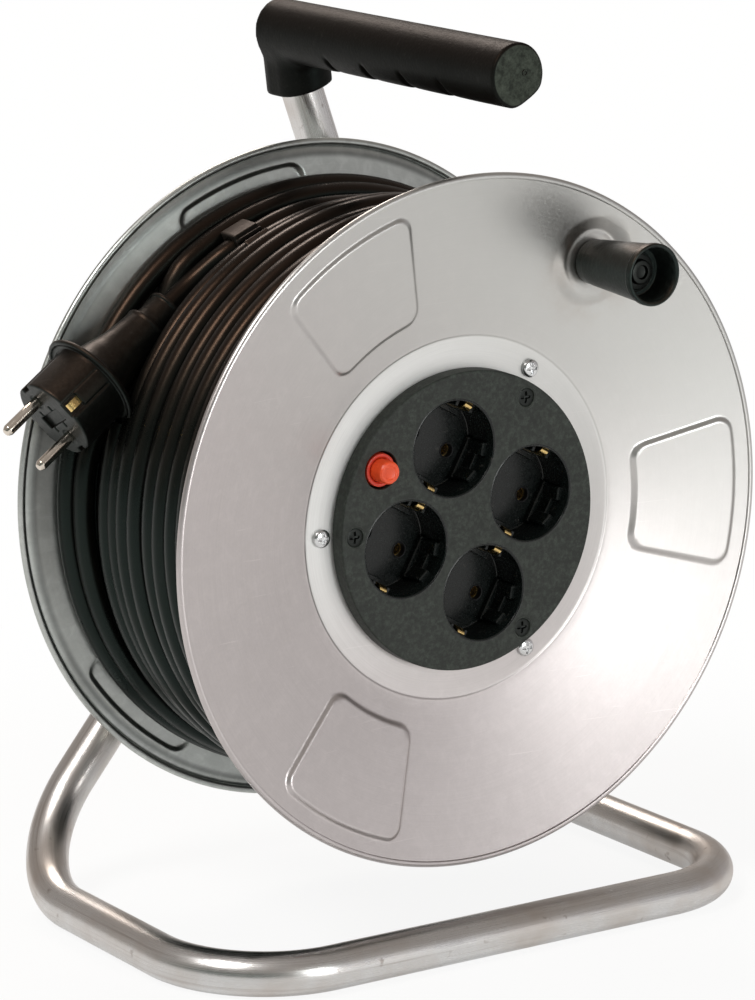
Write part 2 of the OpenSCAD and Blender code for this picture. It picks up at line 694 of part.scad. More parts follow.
// Clip: two rings side by side, one on the free end, one for the next turn
module cable_clip() color([0.06, 0.06, 0.06])
  at(clip_centre - clip_along * clip_len / 2, clip_out, clip_across, clip_along) difference() {
    union() {
      for (y = [0, -clip_pitch])
        translate([0, y, 0]) cylinder(r = cable_d / 2 + clip_wall, h = clip_len);
      translate([-2, -clip_pitch, 0]) cube([4.5, clip_pitch, clip_len]);
    }
    translate([0, 0, -1]) cylinder(r = cable_d / 2 + 0.4, h = clip_len + 2);
    translate([0, -clip_pitch, -1]) cylinder(r = cable_d / 2 + 0.05, h = clip_len + 2);
    translate([1.5, -clip_pitch - 2, -1]) cube([8, 4, clip_len + 2]);
  }

// ---------- plug ----------
// Half section of the body: [radius, z], z = 0 at the pin face
plug_profile = [[0, 0], [17.4, 0], [18.2, -0.8], [18.2, -22], [20.5, -22],
  [20.5, -24.4], [16.5, -25.4], [14.2, -29], [13, -40], [11, -50], [8.6, -56],
  [8.4, -66], [7.6, -67.5], [7.4, -plug_len], [0, -plug_len]];

// Local x is the pin line, local z points out of the pin face
module on_plug()
  at(plug_face, plug_pin_line, cross(plug_axis, plug_pin_line), plug_axis) children();

module plug_body() color([0.06, 0.06, 0.06]) on_plug() difference() {
  rotate_extrude() polygon(plug_profile);
  // cable bore, pin bores, guide grooves and channels of the earth contacts
  translate([0, 0, -plug_len - 1]) cylinder(d = cable_bore_d, h = 16);
  for (side = [-1, 1]) {
    translate([side * pin_pitch / 2, 0, -12]) cylinder(r = 2.13, h = 20);
    translate([side * 17.2 - 2, -2.8, -19]) cube([4, 5.6, 20]);
    translate([-4.5, side * 18.2 - 1.5, -20]) cube([9, 3, 21]);
  }
}

module plug_pins() color([0.80, 0.78, 0.74]) on_plug() for (side = [-1, 1])
  translate([side * pin_pitch / 2, 0, 0]) union() {
    translate([0, 0, -11.9]) cylinder(r = 2.1, h = 14);
    translate([0, 0, 0.3]) cylinder(r = 2.4, h = 17.9);
    translate([0, 0, 18.2]) cylinder(r1 = 2.4, r2 = 1.6, h = 0.8);
  }

module plug_earth_contacts() color([0.80, 0.66, 0.35]) on_plug() for (side = [-1, 1])
  translate([-2.6, side * 17.25 - 0.5, -19.5]) cube([5.2, 1, 18.7]);

// ---------- crank ----------
crank_screw_r = 3;
crank_bore_r = crank_screw_r + 0.1;
sleeve_r = 5;
knob_bore_r = sleeve_r + 0.05;
knob_floor = knob_len - 12;     // floor of the hollow in the knob's outer end
sleeve_len = knob_floor + 0.8;
crank_nut_h = 5;

// Local z points outwards from the seat
module on_crank()
  translate(drum_point(crank_r, crank_a, front_rim + seat_depth)) rotate([90, 0, 0]) children();

module crank_knob() color([0.08, 0.08, 0.08]) on_crank() translate([0, 0, 0.4])
  rotate_extrude($fn = 96) polygon([[knob_bore_r, 0], [8.6, 0], [9.2, 0.8], [9.4, 4],
    [12.5, knob_len - 2], [12.3, knob_len - 0.6], [11.8, knob_len], [11.1, knob_len],
    [10.4, knob_len - 1], [10.1, knob_floor], [knob_bore_r, knob_floor]]);

module crank_sleeve() color(zinc) on_crank() ring(sleeve_r, crank_bore_r, sleeve_len);

module crank_washer() color(zinc)
  on_crank() translate([0, 0, sleeve_len + 0.02]) ring(7.5, crank_bore_r, 1.2);

module crank_screw() color([0.45, 0.45, 0.45]) on_crank() difference() {
  union() {
    translate([0, 0, -7.5]) cylinder(r = crank_screw_r, h = sleeve_len + 9);
    translate([0, 0, sleeve_len + 1.25]) cylinder(r = 5.4, h = 4.2);
  }
  translate([0, 0, sleeve_len + 2.8]) cylinder(d = 5.8, h = 5, $fn = 6);
}

module crank_nut() color([0.65, 0.65, 0.65])
  on_crank() translate([0, 0, -sheet_t - crank_nut_h - 0.05])
    hex_nut(across_flats = 10, bore_r = crank_screw_r + 0.05, h = crank_nut_h);

frame_tube();
handle_grip();
handle_screw();
axle();
axle_saddle_washer();
axle_nut();
axle_spacer();
axle_washer();
axle_circlip();
front_flange();
rear_flange();
drum_core();
hub_bush();
front_flange_screws();
rear_flange_screws();
socket_plate();
plate_screws();
contact_cover();
cover_screws();
live_contacts();
neutral_contacts();
earth_contacts();
thermal_cutout();
button_spring();
reset_button();
live_wire();
cutout_link();
neutral_wire();
earth_wire();
cable_inner_end();
strain_relief();
strain_relief_screws();
cable_coil();
cable_tail();
cable_clip();
plug_body();
plug_pins();
plug_earth_contacts();
crank_knob();
crank_screw();
crank_washer();
crank_sleeve();
crank_nut();
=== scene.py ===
"""A cable reel: a drum in a bent tube frame, with a socket plate, a crank knob and a plug.

The drum turns about an axis along y at the height DRUM_Z. Its front face looks towards -y,
x points right as seen from the front, z points up and the frame stands on z = 0.
Sizes are in mm and become metres when a mesh or a shader is made.
"""
import bpy, bmesh, json, math, itertools, openvdb
import numpy as np
from mathutils import Matrix, Vector
from mathutils.geometry import tessellate_polygon


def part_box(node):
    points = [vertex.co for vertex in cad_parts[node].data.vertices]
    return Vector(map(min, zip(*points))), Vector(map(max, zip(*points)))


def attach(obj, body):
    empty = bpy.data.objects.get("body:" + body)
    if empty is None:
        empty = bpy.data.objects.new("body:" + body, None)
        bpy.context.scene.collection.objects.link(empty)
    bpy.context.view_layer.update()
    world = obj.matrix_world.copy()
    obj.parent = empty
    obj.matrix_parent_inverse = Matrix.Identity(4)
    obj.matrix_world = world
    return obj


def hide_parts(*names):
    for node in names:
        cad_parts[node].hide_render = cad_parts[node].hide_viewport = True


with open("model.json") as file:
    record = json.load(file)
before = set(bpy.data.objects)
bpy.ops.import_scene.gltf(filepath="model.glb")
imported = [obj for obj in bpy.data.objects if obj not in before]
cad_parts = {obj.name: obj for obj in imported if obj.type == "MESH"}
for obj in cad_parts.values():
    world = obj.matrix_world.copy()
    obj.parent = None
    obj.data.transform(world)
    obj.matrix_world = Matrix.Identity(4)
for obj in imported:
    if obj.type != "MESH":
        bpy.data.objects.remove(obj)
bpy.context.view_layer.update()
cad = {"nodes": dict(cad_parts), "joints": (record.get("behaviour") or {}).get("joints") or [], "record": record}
scene = bpy.context.scene
pi = math.pi
MM = 0.001


def box_mm(node):
    """lowest and highest corner of a CAD node"""
    low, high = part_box(node)
    return np.array(low) / MM, np.array(high) / MM


def joint_mm(name):
    joints = {joint["name"]: joint for joint in cad["joints"]}
    return np.array(joints[name]["pos_m"]) / MM


# ------------------------------------------------------------------ sizes shared by the pieces
DRUM = joint_mm("drum_spin")
DRUM_Z = float(DRUM[2])
flange_lo, flange_hi = box_mm("front_flange")
FLANGE_R = (flange_hi[0] - flange_lo[0]) / 2
HALF_W = -flange_lo[1]              # half the drum's width, to the rim planes
SHEET = 1.0
HUB_R = 75.0                        # the flat hub ring ends here and the cone starts
DISH = 14.7                         # depth of the hub ring below the rim plane
CONE_FOOT = 1.0                     # depth of the cone at CONE_R
CONE_R = FLANGE_R - 2.6
SLOPE = (DISH - CONE_FOOT) / (CONE_R - HUB_R)
PLATE_Y = 7.8                       # depth of the socket plate's face below the rim plane
CABLE_D = 9.0
CABLE_R = CABLE_D / 2
SCREW_R, POST_R = 67.7, 55.6        # circles of the flange screws and the plate screws
SCREW_ANGLES = (60, 180, 300)
knob_joint = joint_mm("crank_knob_spin")
KNOB_X = knob_joint[0] - DRUM[0]    # the knob's place from the drum axis
KNOB_Z = knob_joint[2] - DRUM_Z
KNOB_ANGLE = math.degrees(math.atan2(KNOB_Z, KNOB_X))
SEAT_Y = 6.0                        # depth of the pressed seat under the knob
PIN_HALF = 9.5                      # half the pitch of the pins, in the sockets and the plug

X, Y, Z = np.eye(3)
FRONT = (X, Z, -Y)                  # local axes on the front face: z points at the viewer
REAR = (-X, Z, Y)                   # and on the rear face


def cone_depth(radius):
    return CONE_FOOT + (CONE_R - radius) * SLOPE


def polar_point(radius, angle, y):
    """a point at an angle in degrees about the drum axis"""
    angle = math.radians(angle)
    return np.array([radius * math.cos(angle), y, DRUM_Z + radius * math.sin(angle)])


def unit(vector):
    vector = np.array(vector, float)
    return vector / np.linalg.norm(vector)


def square_to(vector, axis):
    """the unit direction of the part of vector square to axis"""
    return unit(vector - axis * (vector @ axis))


def smoothstep(start, end, value):
    share = np.clip((value - start) / (end - start), 0, 1)
    return share * share * (3 - 2 * share)


# ------------------------------------------------------------------ shader building
class Value:
    """a node output that adds, subtracts and multiplies through math nodes"""
    def __init__(self, nodes, socket):
        self.nodes, self.socket = nodes, socket

    def __add__(self, other):
        return self.nodes.math("ADD", self, other)

    def __sub__(self, other):
        return self.nodes.math("SUBTRACT", self, other)

    def __mul__(self, other):
        return self.nodes.math("MULTIPLY", self, other)


class Nodes:
    """adds nodes to a node tree"""
    def __init__(self, tree):
        self.tree = tree
        tree.nodes.clear()

    def put(self, socket, value):
        if isinstance(value, Value):
            self.tree.links.new(value.socket, socket)
            return
        if socket.type == "RGBA" and len(value) == 3:
            value = (*value, 1.0)
        socket.default_value = value

    def node(self, kind, inputs=(), output=0, **settings):
        """returns one output, or a list when output is a tuple"""
        made = self.tree.nodes.new(kind)
        for key, value in settings.items():
            setattr(made, key, value)
        for key, value in dict(inputs).items():
            self.put(made.inputs[key], value)
        if isinstance(output, tuple):
            return [Value(self, made.outputs[key]) for key in output]
        return Value(self, made.outputs[output])

    def math(self, operation, *values, clamp=False):
        return self.node("ShaderNodeMath", enumerate(values), operation=operation,
                         use_clamp=clamp)

    def hypot(self, first, second):
        return self.math("SQRT", first * first + second * second)

    def ramp(self, value, over, to=(0.0, 1.0), smooth=False):
        """maps the span over onto the span to"""
        shape = {"interpolation_type": "SMOOTHSTEP"} if smooth else {}
        return self.node("ShaderNodeMapRange", {0: value, 1: over[0], 2: over[1],
                                                3: to[0], 4: to[1]}, clamp=True, **shape)

    def mix(self, factor, first, second):
        return self.node("ShaderNodeMix", {0: factor, 6: first, 7: second}, output=2,
                         data_type="RGBA")

    def tint(self, first, second, by, over, most=1.0, smooth=False):
        """mixes in the second colour, up to most, as by crosses the span over"""
        return self.mix(self.ramp(by, over, (0.0, most), smooth), first, second)

    def xyz(self, vector):
        return self.node("ShaderNodeSeparateXYZ", {0: vector}, output=(0, 1, 2))

    def vector(self, x, y, z):
        return self.node("ShaderNodeCombineXYZ", {0: x, 1: y, 2: z})


MATERIALS = {}


class Material(Nodes):
    """a principled material in object coordinates"""
    def __init__(self, name):
        made = bpy.data.materials.new(name)
        made.use_nodes = True
        super().__init__(made.node_tree)
        self.output = self.tree.nodes.new("ShaderNodeOutputMaterial")
        self.bsdf = self.tree.nodes.new("ShaderNodeBsdfPrincipled")
        self.shader = Value(self, self.bsdf.outputs[0])
        self.put(self.output.inputs[0], self.shader)
        self.place = self.node("ShaderNodeTexCoord", output="Object")
        MATERIALS[name] = made

    def set(self, values):
        for name, value in values.items():
            self.put(self.bsdf.inputs[name], value)

    def noise(self, scale, detail=4.0, rough=0.6, at=None, distortion=0.0):
        return self.node("ShaderNodeTexNoise", {
            "Scale": scale, "Detail": detail, "Roughness": rough,
            "Distortion": distortion, "Vector": at or self.place})

    def scaled(self, factors, vector=None):
        return self.node("ShaderNodeVectorMath", {0: vector or self.place, 1: factors},
                         operation="MULTIPLY")

    def normal(self):
        return self.node("ShaderNodeNewGeometry", output="Normal")

    def bump(self, height, strength, depth):
        return self.node("ShaderNodeBump", {"Strength": strength, "Distance": depth,
                                            "Height": height})

    def worn(self, radius):
        """1 on sharp edges: the bevel node's normal against the true one"""
        bevel = self.node("ShaderNodeBevel", {"Radius": radius}, samples=4)
        facing = self.node("ShaderNodeVectorMath", {0: bevel, 1: self.normal()},
                           output="Value", operation="DOT_PRODUCT")
        return self.ramp(facing, over=(0.995, 0.86))

    def sheen(self, below, above, start=0.0):
        """painted reflection colour: a specular tint from faces that look sideways to faces that look up"""
        upward = self.xyz(self.normal())[2]
        return self.tint(below, above, upward, over=(start, 0.6), smooth=True)


def shade(colour, factor, lift=0.0):
    return tuple(min(1, part * factor + lift) for part in colour)


# ------------------------------------------------------------------ materials
def sheet_metal(name, base, crease_shade_colour):
    """satin galvanised sheet: cloudy zinc, rolling grain, circular rub marks, fine scratches"""
    is_rear = name == "rear_sheet"
    m = Material(name)
    x, y, z = m.xyz(m.place)
    z = z - DRUM_Z * MM
    radius = m.hypot(x, z)
    angle = m.math("ARCTAN2", z, x)
    cloud = m.noise(scale=9, detail=3, rough=0.5)
    fleck = m.noise(scale=900, detail=2)
    fine_fleck = m.noise(scale=2600, detail=1, rough=0.5)
    rub = m.noise(scale=1.0, detail=3, rough=0.65,
                  at=m.vector(radius * 2600.0, angle * 2.2, y * 200.0))
    # the rolling direction is turned in the x-z plane: each axis takes (own, opposite) shares
    turned = [m.xyz(m.place)[i] * own + m.xyz(m.place)[2 - i] * other
              for i, (own, other) in enumerate(((0.9, 0.35), (1, 0), (0.9, -0.35)))]
    grain = m.noise(scale=1.0, detail=3, at=m.scaled((60, 200, 2400), m.vector(*turned)))
    lines = m.noise(scale=1.0, detail=2, rough=0.5, at=m.scaled((14, 200, 900)),
                    distortion=0.4)
    scratch = m.ramp(lines, over=(0.70, 0.74))
    colour = m.tint(base, shade(base, 0.90), cloud, over=(0.35, 0.7))
    colour = m.tint(colour, shade(base, 1.12), fleck, over=(0.3, 0.75), most=0.35)
    colour = m.tint(colour, shade(base, 0.78), rub, over=(0.42, 0.75), most=0.22)
    spangle = m.noise(scale=170, detail=3, distortion=0.6)
    contrast = 0.20 if is_rear else 0.06
    colour = m.tint(colour, shade(base, 0.55), spangle, over=(0.42, 0.62), most=contrast)
    colour = m.tint(colour, shade(base, 1.45), spangle, over=(0.44, 0.30), most=contrast)
    colour = m.mix(scratch * 0.35, colour, shade(base, 1.25))
    # painted shade in the crease behind the rolled rim, wider on the rear sheet
    wider = 2.6 if is_rear else 0.0
    side = 1 if is_rear else -1
    crease_shade = (m.ramp(radius, over=((CONE_R - 3.4 - wider) * MM,
                                   (CONE_R - 1.9 - wider * 0.6) * MM), smooth=True)
              * m.ramp(radius, over=((CONE_R + 0.2) * MM, (CONE_R - 0.5) * MM), smooth=True))
    shallow = m.ramp(y, over=(side * (HALF_W - 3.4) * MM, side * (HALF_W - 1.75) * MM),
                     to=(1.0, 0.0))
    colour = m.mix(crease_shade * (shallow * 0.85), colour, crease_shade_colour)
    if not is_rear:
        colour, ring = front_tones(m, colour, radius, angle, cloud, rub)
    rough = m.ramp(rub * 0.5 + fleck * 0.5, over=(0.3, 0.75), to=(0.26, 0.41))
    rough = rough + cloud * 0.06
    if not is_rear:
        rough = rough + ring * 0.11
    height = fleck * 0.45 + rub * 0.35 + grain * 0.3 - scratch * 0.3 + fine_fleck * 0.25
    m.set({"Base Color": colour, "Metallic": 1.0, "Roughness": rough,
           "Normal": m.bump(height, strength=0.22, depth=0.00012)})


def front_tones(m, colour, radius, angle, cloud, rub):
    """neutral at the upper right, a painted highlight on the hub ring's left and top, a brown film by the knob
    """
    x = radius * m.math("COSINE", angle)
    z = radius * m.math("SINE", angle)
    lean = x * 0.55 + z * 0.85
    tone = m.ramp(lean + cloud * 0.05, over=(-0.03, 0.14), to=(0.0, 0.75), smooth=True)
    colour = m.mix(tone, colour, (0.555, 0.570, 0.550))
    ring = m.ramp(radius, over=((HUB_R + 0.4) * MM, (HUB_R - 0.2) * MM))
    # painted highlight: the hub ring is lit paler on its left and upper side
    hub_ring_highlight = (ring * m.ramp(x, over=(0.07, -0.07), to=(0.15, 0.90))
            * m.ramp(z, over=(-0.075, 0.0), to=(0.25, 1.0), smooth=True))
    hub_ring_highlight = hub_ring_highlight * m.ramp(rub, over=(0.2, 0.7), to=(1.0, 0.75))
    colour = m.mix(hub_ring_highlight, colour, (0.76, 0.77, 0.755))
    from_knob = m.hypot(x - KNOB_X * MM, z - (KNOB_Z - 3) * MM)
    film = (m.ramp(from_knob, over=(30 * MM, 12 * MM), smooth=True)
            * m.ramp(m.noise(scale=60, rough=0.65), over=(0.40, 0.68)))
    return m.mix(film * 0.35, colour, (0.40, 0.33, 0.28)), ring


def tube_metal():
    """bare steel tube, streaked along its length"""
    m = Material("tube_steel")
    # length along the tube in metres, turn round it 0..1
    length, turn, _ = m.xyz(m.node("ShaderNodeUVMap"))
    round_tube = m.vector(length * 9.0, m.math("SINE", turn * (2 * pi)) * 6.0,
                          m.math("COSINE", turn * (2 * pi)) * 6.0)
    streak = m.noise(scale=1.0, at=round_tube, distortion=0.3)
    fine = m.noise(scale=1.0, rough=0.65, at=m.scaled((4.0, 9.0, 9.0), round_tube))
    ring = m.noise(scale=1.0, detail=2, at=m.vector(length * 2600.0, turn, 0.0))
    cloud = m.noise(scale=22)
    spots = m.noise(scale=140, detail=3)
    colour = m.tint((0.66, 0.655, 0.65), (0.50, 0.44, 0.39), cloud,
                    over=(0.42, 0.68), most=0.75)
    colour = m.tint(colour, (0.27, 0.22, 0.19), streak, over=(0.55, 0.75), most=0.5)
    colour = m.tint(colour, (0.78, 0.77, 0.75), fine, over=(0.5, 0.8), most=0.4)
    colour = m.tint(colour, (0.20, 0.15, 0.12), spots, over=(0.66, 0.74), most=0.55)
    rough = m.ramp(fine * 0.6 + cloud * 0.5, over=(0.35, 0.8), to=(0.20, 0.42))
    height = fine * 0.5 + ring * 0.25 + spots * 0.3
    m.set({"Base Color": colour, "Metallic": 1.0, "Roughness": rough,
           "Normal": m.bump(height, strength=0.25, depth=0.00012)})


def metal(name, base, rough, dirt=None, strength=0.2):
    """small metal parts: stained, finely grained, bright on the edges"""
    m = Material(name)
    stain = m.noise(scale=60)
    grain = m.noise(scale=700, detail=3)
    colour = m.tint(base, dirt or shade(base, 0.6), stain, over=(0.4, 0.7), most=0.35)
    colour = m.tint(colour, shade(base, 1.2), grain, over=(0.45, 0.8), most=0.3)
    colour = m.mix(m.worn(radius=0.0003) * 0.35, colour, shade(base, 1.3))
    m.set({"Base Color": colour, "Metallic": 1.0,
           "Roughness": m.ramp(grain, over=(0.3, 0.75), to=rough),
           "Normal": m.bump(grain + stain * 0.5, strength, depth=0.0001)})


def plastic(name, base, rough=(0.42, 0.6), grain=1400, strength=0.35, worn=0.25, tint=None,
            spec=0.5, dust=0.06, coat=0.0, sheen=None, pale_end=False, speck=0.0):
    """grained plastic or rubber; strength is the bump's, worn the paling of the edges"""
    m = Material(name)
    cloud = m.noise(scale=28)
    fine = m.noise(scale=grain, detail=3)
    coarse = m.noise(scale=grain * 0.28, detail=2, rough=0.5)
    colour = m.tint(base, tint or shade(base, 0.78), cloud, over=(0.35, 0.7))
    colour = m.tint(colour, shade(base, 1.5, lift=0.004), fine, over=(0.4, 0.8), most=0.35)
    colour = m.mix(m.worn(radius=0.0005) * worn, colour, shade(base, 2.2, lift=0.02))
    colour = m.tint(colour, (0.35, 0.33, 0.30), m.noise(scale=300, detail=5, rough=0.7),
                    over=(0.6, 0.9), most=dust * 3)
    if pale_end:
        # the front end of the grip is paler and blotchy
        facing = m.xyz(m.normal())[1]
        blotch = m.ramp(m.noise(scale=420, rough=0.7), over=(0.35, 0.72), to=(0.25, 1.0))
        blotch = blotch * m.ramp(m.xyz(m.place)[1], over=(-60 * MM, -70 * MM))
        colour = m.mix(m.ramp(facing, over=(-0.93, -0.985)) * blotch, colour,
                       (0.070, 0.082, 0.066))
    if speck:
        colour = m.tint(colour, shade(base, 2.6, lift=0.004),
                        m.noise(scale=620, detail=3, rough=0.65),
                        over=(0.42, 0.74), most=speck)
        colour = m.tint(colour, shade(base, 0.55), m.noise(scale=240, detail=3),
                        over=(0.40, 0.70), most=speck * 0.7)
    m.set({"Base Color": colour,
           "Roughness": m.ramp(fine * 0.6 + cloud * 0.4, over=(0.35, 0.7), to=rough),
           "Specular IOR Level": spec})
    # the specular tint by facing is a painted reflection colour
    if sheen:
        m.set({"Specular Tint": m.sheen(*sheen)})
    if coat:
        m.set({"Coat Weight": coat, "Coat Roughness": 0.25})
    m.set({"Normal": m.bump(fine + coarse * 0.6, strength, depth=0.00008)})


def rubber_cable():
    """black cable sheath with lines along it and the faint lay of the cores"""
    m = Material("cable_rubber")
    length, turn, _ = m.xyz(m.node("ShaderNodeUVMap"))
    lines = m.noise(scale=1.0, at=m.scaled((1.0, 3.5, 1.0),
                                           m.vector(length * 14.0, turn * 9.0, 0.0)))
    lay = m.node("ShaderNodeTexWave", {
        "Scale": 1.0, "Distortion": 1.5, "Detail": 2.0,
        "Vector": m.vector(length * 7.0 + turn * 0.9, 0.0, 0.0)}, wave_type="BANDS")
    cloud = m.noise(scale=45)
    fine = m.noise(scale=1200, detail=3)
    colour = m.tint((0.0024, 0.0028, 0.0026), (0.0046, 0.0040, 0.0034), cloud,
                    over=(0.35, 0.7))
    colour = m.tint(colour, (0.008, 0.0066, 0.0056), lines, over=(0.5, 0.8), most=0.4)
    colour = m.tint(colour, (0.10, 0.085, 0.07), m.noise(scale=240, detail=5, rough=0.7),
                    over=(0.62, 0.85), most=0.16)
    rough = m.ramp(cloud * 0.5 + fine * 0.5, over=(0.35, 0.7), to=(0.25, 0.38))
    height = fine * 0.12 + lines * 0.25 + lay * 0.5
    # the specular tint paints the reflections greenish at the cable's sides and brown on its top
    m.set({"Base Color": colour, "Roughness": rough, "Specular IOR Level": 0.27,
           "Specular Tint": m.sheen((0.62, 0.88, 0.80), (1.0, 0.60, 0.40), start=0.05),
           "Normal": m.bump(height, strength=0.35, depth=0.00018)})


# painted reflection tints: greenish on faces that look sideways, brown on faces that look up
SHEEN = ((0.70, 0.92, 0.85), (1.0, 0.66, 0.47))
# both crease colours are painted shade behind the rolled rims
sheet_metal("front_sheet", (0.555, 0.518, 0.513), crease_shade_colour=(0.05, 0.045, 0.045))
sheet_metal("rear_sheet", (0.505, 0.53, 0.512), crease_shade_colour=(0.015, 0.017, 0.017))
tube_metal()
metal("zinc_steel", (0.72, 0.73, 0.74), rough=(0.16, 0.32), dirt=(0.40, 0.39, 0.36))
metal("dark_steel", (0.030, 0.033, 0.031), rough=(0.34, 0.50), dirt=(0.012, 0.012, 0.012),
      strength=0.3)
metal("spring_steel", (0.55, 0.55, 0.57), rough=(0.2, 0.3))
metal("contact_brass", (0.80, 0.58, 0.24), rough=(0.18, 0.34), dirt=(0.46, 0.30, 0.12))
metal("pin_nickel", (0.74, 0.68, 0.60), rough=(0.10, 0.24), dirt=(0.45, 0.36, 0.28))
plastic("handle_plastic", (0.0050, 0.0046, 0.0040), rough=(0.38, 0.52), grain=800,
        strength=1.3, worn=0.1, spec=0.085, dust=0.02,
        sheen=((0.70, 0.92, 0.85), (1.0, 0.60, 0.40)), pale_end=True)
plastic("core_plastic", (0.008, 0.008, 0.009), spec=0.2)
plastic("bush_nylon", (0.66, 0.63, 0.56), rough=(0.35, 0.5), grain=900, strength=0.2,
        worn=0.0, dust=0.1)
plastic("socket_plastic", (0.0190, 0.0235, 0.0195), rough=(0.46, 0.62), grain=900,
        strength=0.9, worn=0.35, spec=0.30, speck=0.8)
# painted shade: the recesses take a plastic far darker than the face
plastic("recess_shaded_plastic", (0.0026, 0.0046, 0.0042), rough=(0.20, 0.36), grain=700,
        strength=0.3, worn=0.8, spec=0.26, dust=0.08, coat=0.22, speck=0.35)
plastic("cutout_red", (0.62, 0.045, 0.018), rough=(0.30, 0.42), grain=900, strength=0.15,
        worn=0.15, dust=0.02, tint=(0.50, 0.03, 0.012))
plastic("button_red", (0.86, 0.09, 0.022), rough=(0.28, 0.40), grain=900, strength=0.15,
        worn=0.15, dust=0.02, tint=(0.72, 0.065, 0.016))
plastic("wire_brown", (0.14, 0.055, 0.022), rough=(0.35, 0.5))
plastic("wire_black", (0.02, 0.02, 0.02), rough=(0.35, 0.5))
plastic("wire_blue", (0.02, 0.07, 0.36), rough=(0.35, 0.5))
plastic("wire_green", (0.16, 0.36, 0.03), rough=(0.35, 0.5), tint=(0.62, 0.52, 0.03))
rubber_cable()
plastic("clip_plastic", (0.013, 0.0095, 0.0080), rough=(0.40, 0.55), grain=900,
        strength=0.4, worn=0.3, spec=0.35, sheen=SHEEN)
plastic("plug_rubber", (0.0045, 0.0046, 0.0041), rough=(0.30, 0.46), grain=700,
        strength=0.9, worn=0.3, spec=0.26, dust=0.04, sheen=SHEEN, speck=0.5)
plastic("knob_plastic", (0.0062, 0.0085, 0.0078), rough=(0.30, 0.46), grain=700,
        strength=0.8, worn=0.4, spec=0.33, dust=0.04, sheen=SHEEN, speck=0.9)


# ------------------------------------------------------------------ mesh helpers
def angle_between(first, second):
    return math.acos(max(-1, min(1, float(first @ second))))


def fillet(corners, steps=5):
    """rounds the corners of an open line of (x, y, radius)"""
    spots = [np.array(corner[:2], float) for corner in corners]
    line = []
    for i, spot in enumerate(spots):
        radius = corners[i][2]
        if i in (0, len(spots) - 1) or radius <= 0:
            line.append(tuple(spot))
            continue
        back, ahead = spots[i - 1] - spot, spots[i + 1] - spot
        back_len, ahead_len = np.linalg.norm(back), np.linalg.norm(ahead)
        back, ahead = back / back_len, ahead / ahead_len
        corner = angle_between(back, ahead)
        if corner > pi - 0.02:
            line.append(tuple(spot))
            continue
        inset = min(radius / math.tan(corner / 2), back_len * 0.49, ahead_len * 0.49)
        radius = inset * math.tan(corner / 2)
        centre = spot + unit(back + ahead) * radius / math.sin(corner / 2)
        start, end = spot + back * inset - centre, spot + ahead * inset - centre
        first = math.atan2(start[1], start[0])
        swing = (math.atan2(end[1], end[0]) - first + pi) % (2 * pi) - pi
        for k in range(steps + 1):
            turn = first + swing * k / steps
            line.append((centre[0] + radius * math.cos(turn),
                         centre[1] + radius * math.sin(turn)))
    return line


def grid_faces(rows, columns, wrap_rows=False, wrap_columns=False):
    faces = []
    for i in range(rows if wrap_rows else rows - 1):
        here, there = i * columns, ((i + 1) % rows) * columns
        for j in range(columns if wrap_columns else columns - 1):
            k = (j + 1) % columns
            faces.append((here + j, there + j, there + k, here + k))
    return faces


def finish_mesh(mesh, name, body, angle, replaces):
    """makes the object; edges sharper than angle degrees stay sharp"""
    work = bmesh.new()
    work.from_mesh(mesh)
    bmesh.ops.recalc_face_normals(work, faces=work.faces)
    work.to_mesh(mesh)
    work.free()
    mesh.polygons.foreach_set("use_smooth", [True] * len(mesh.polygons))
    mesh.set_sharp_from_angle(angle=math.radians(angle))
    made = bpy.data.objects.new(name, mesh)
    scene.collection.objects.link(made)
    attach(made, body)
    if replaces:
        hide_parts(replaces)


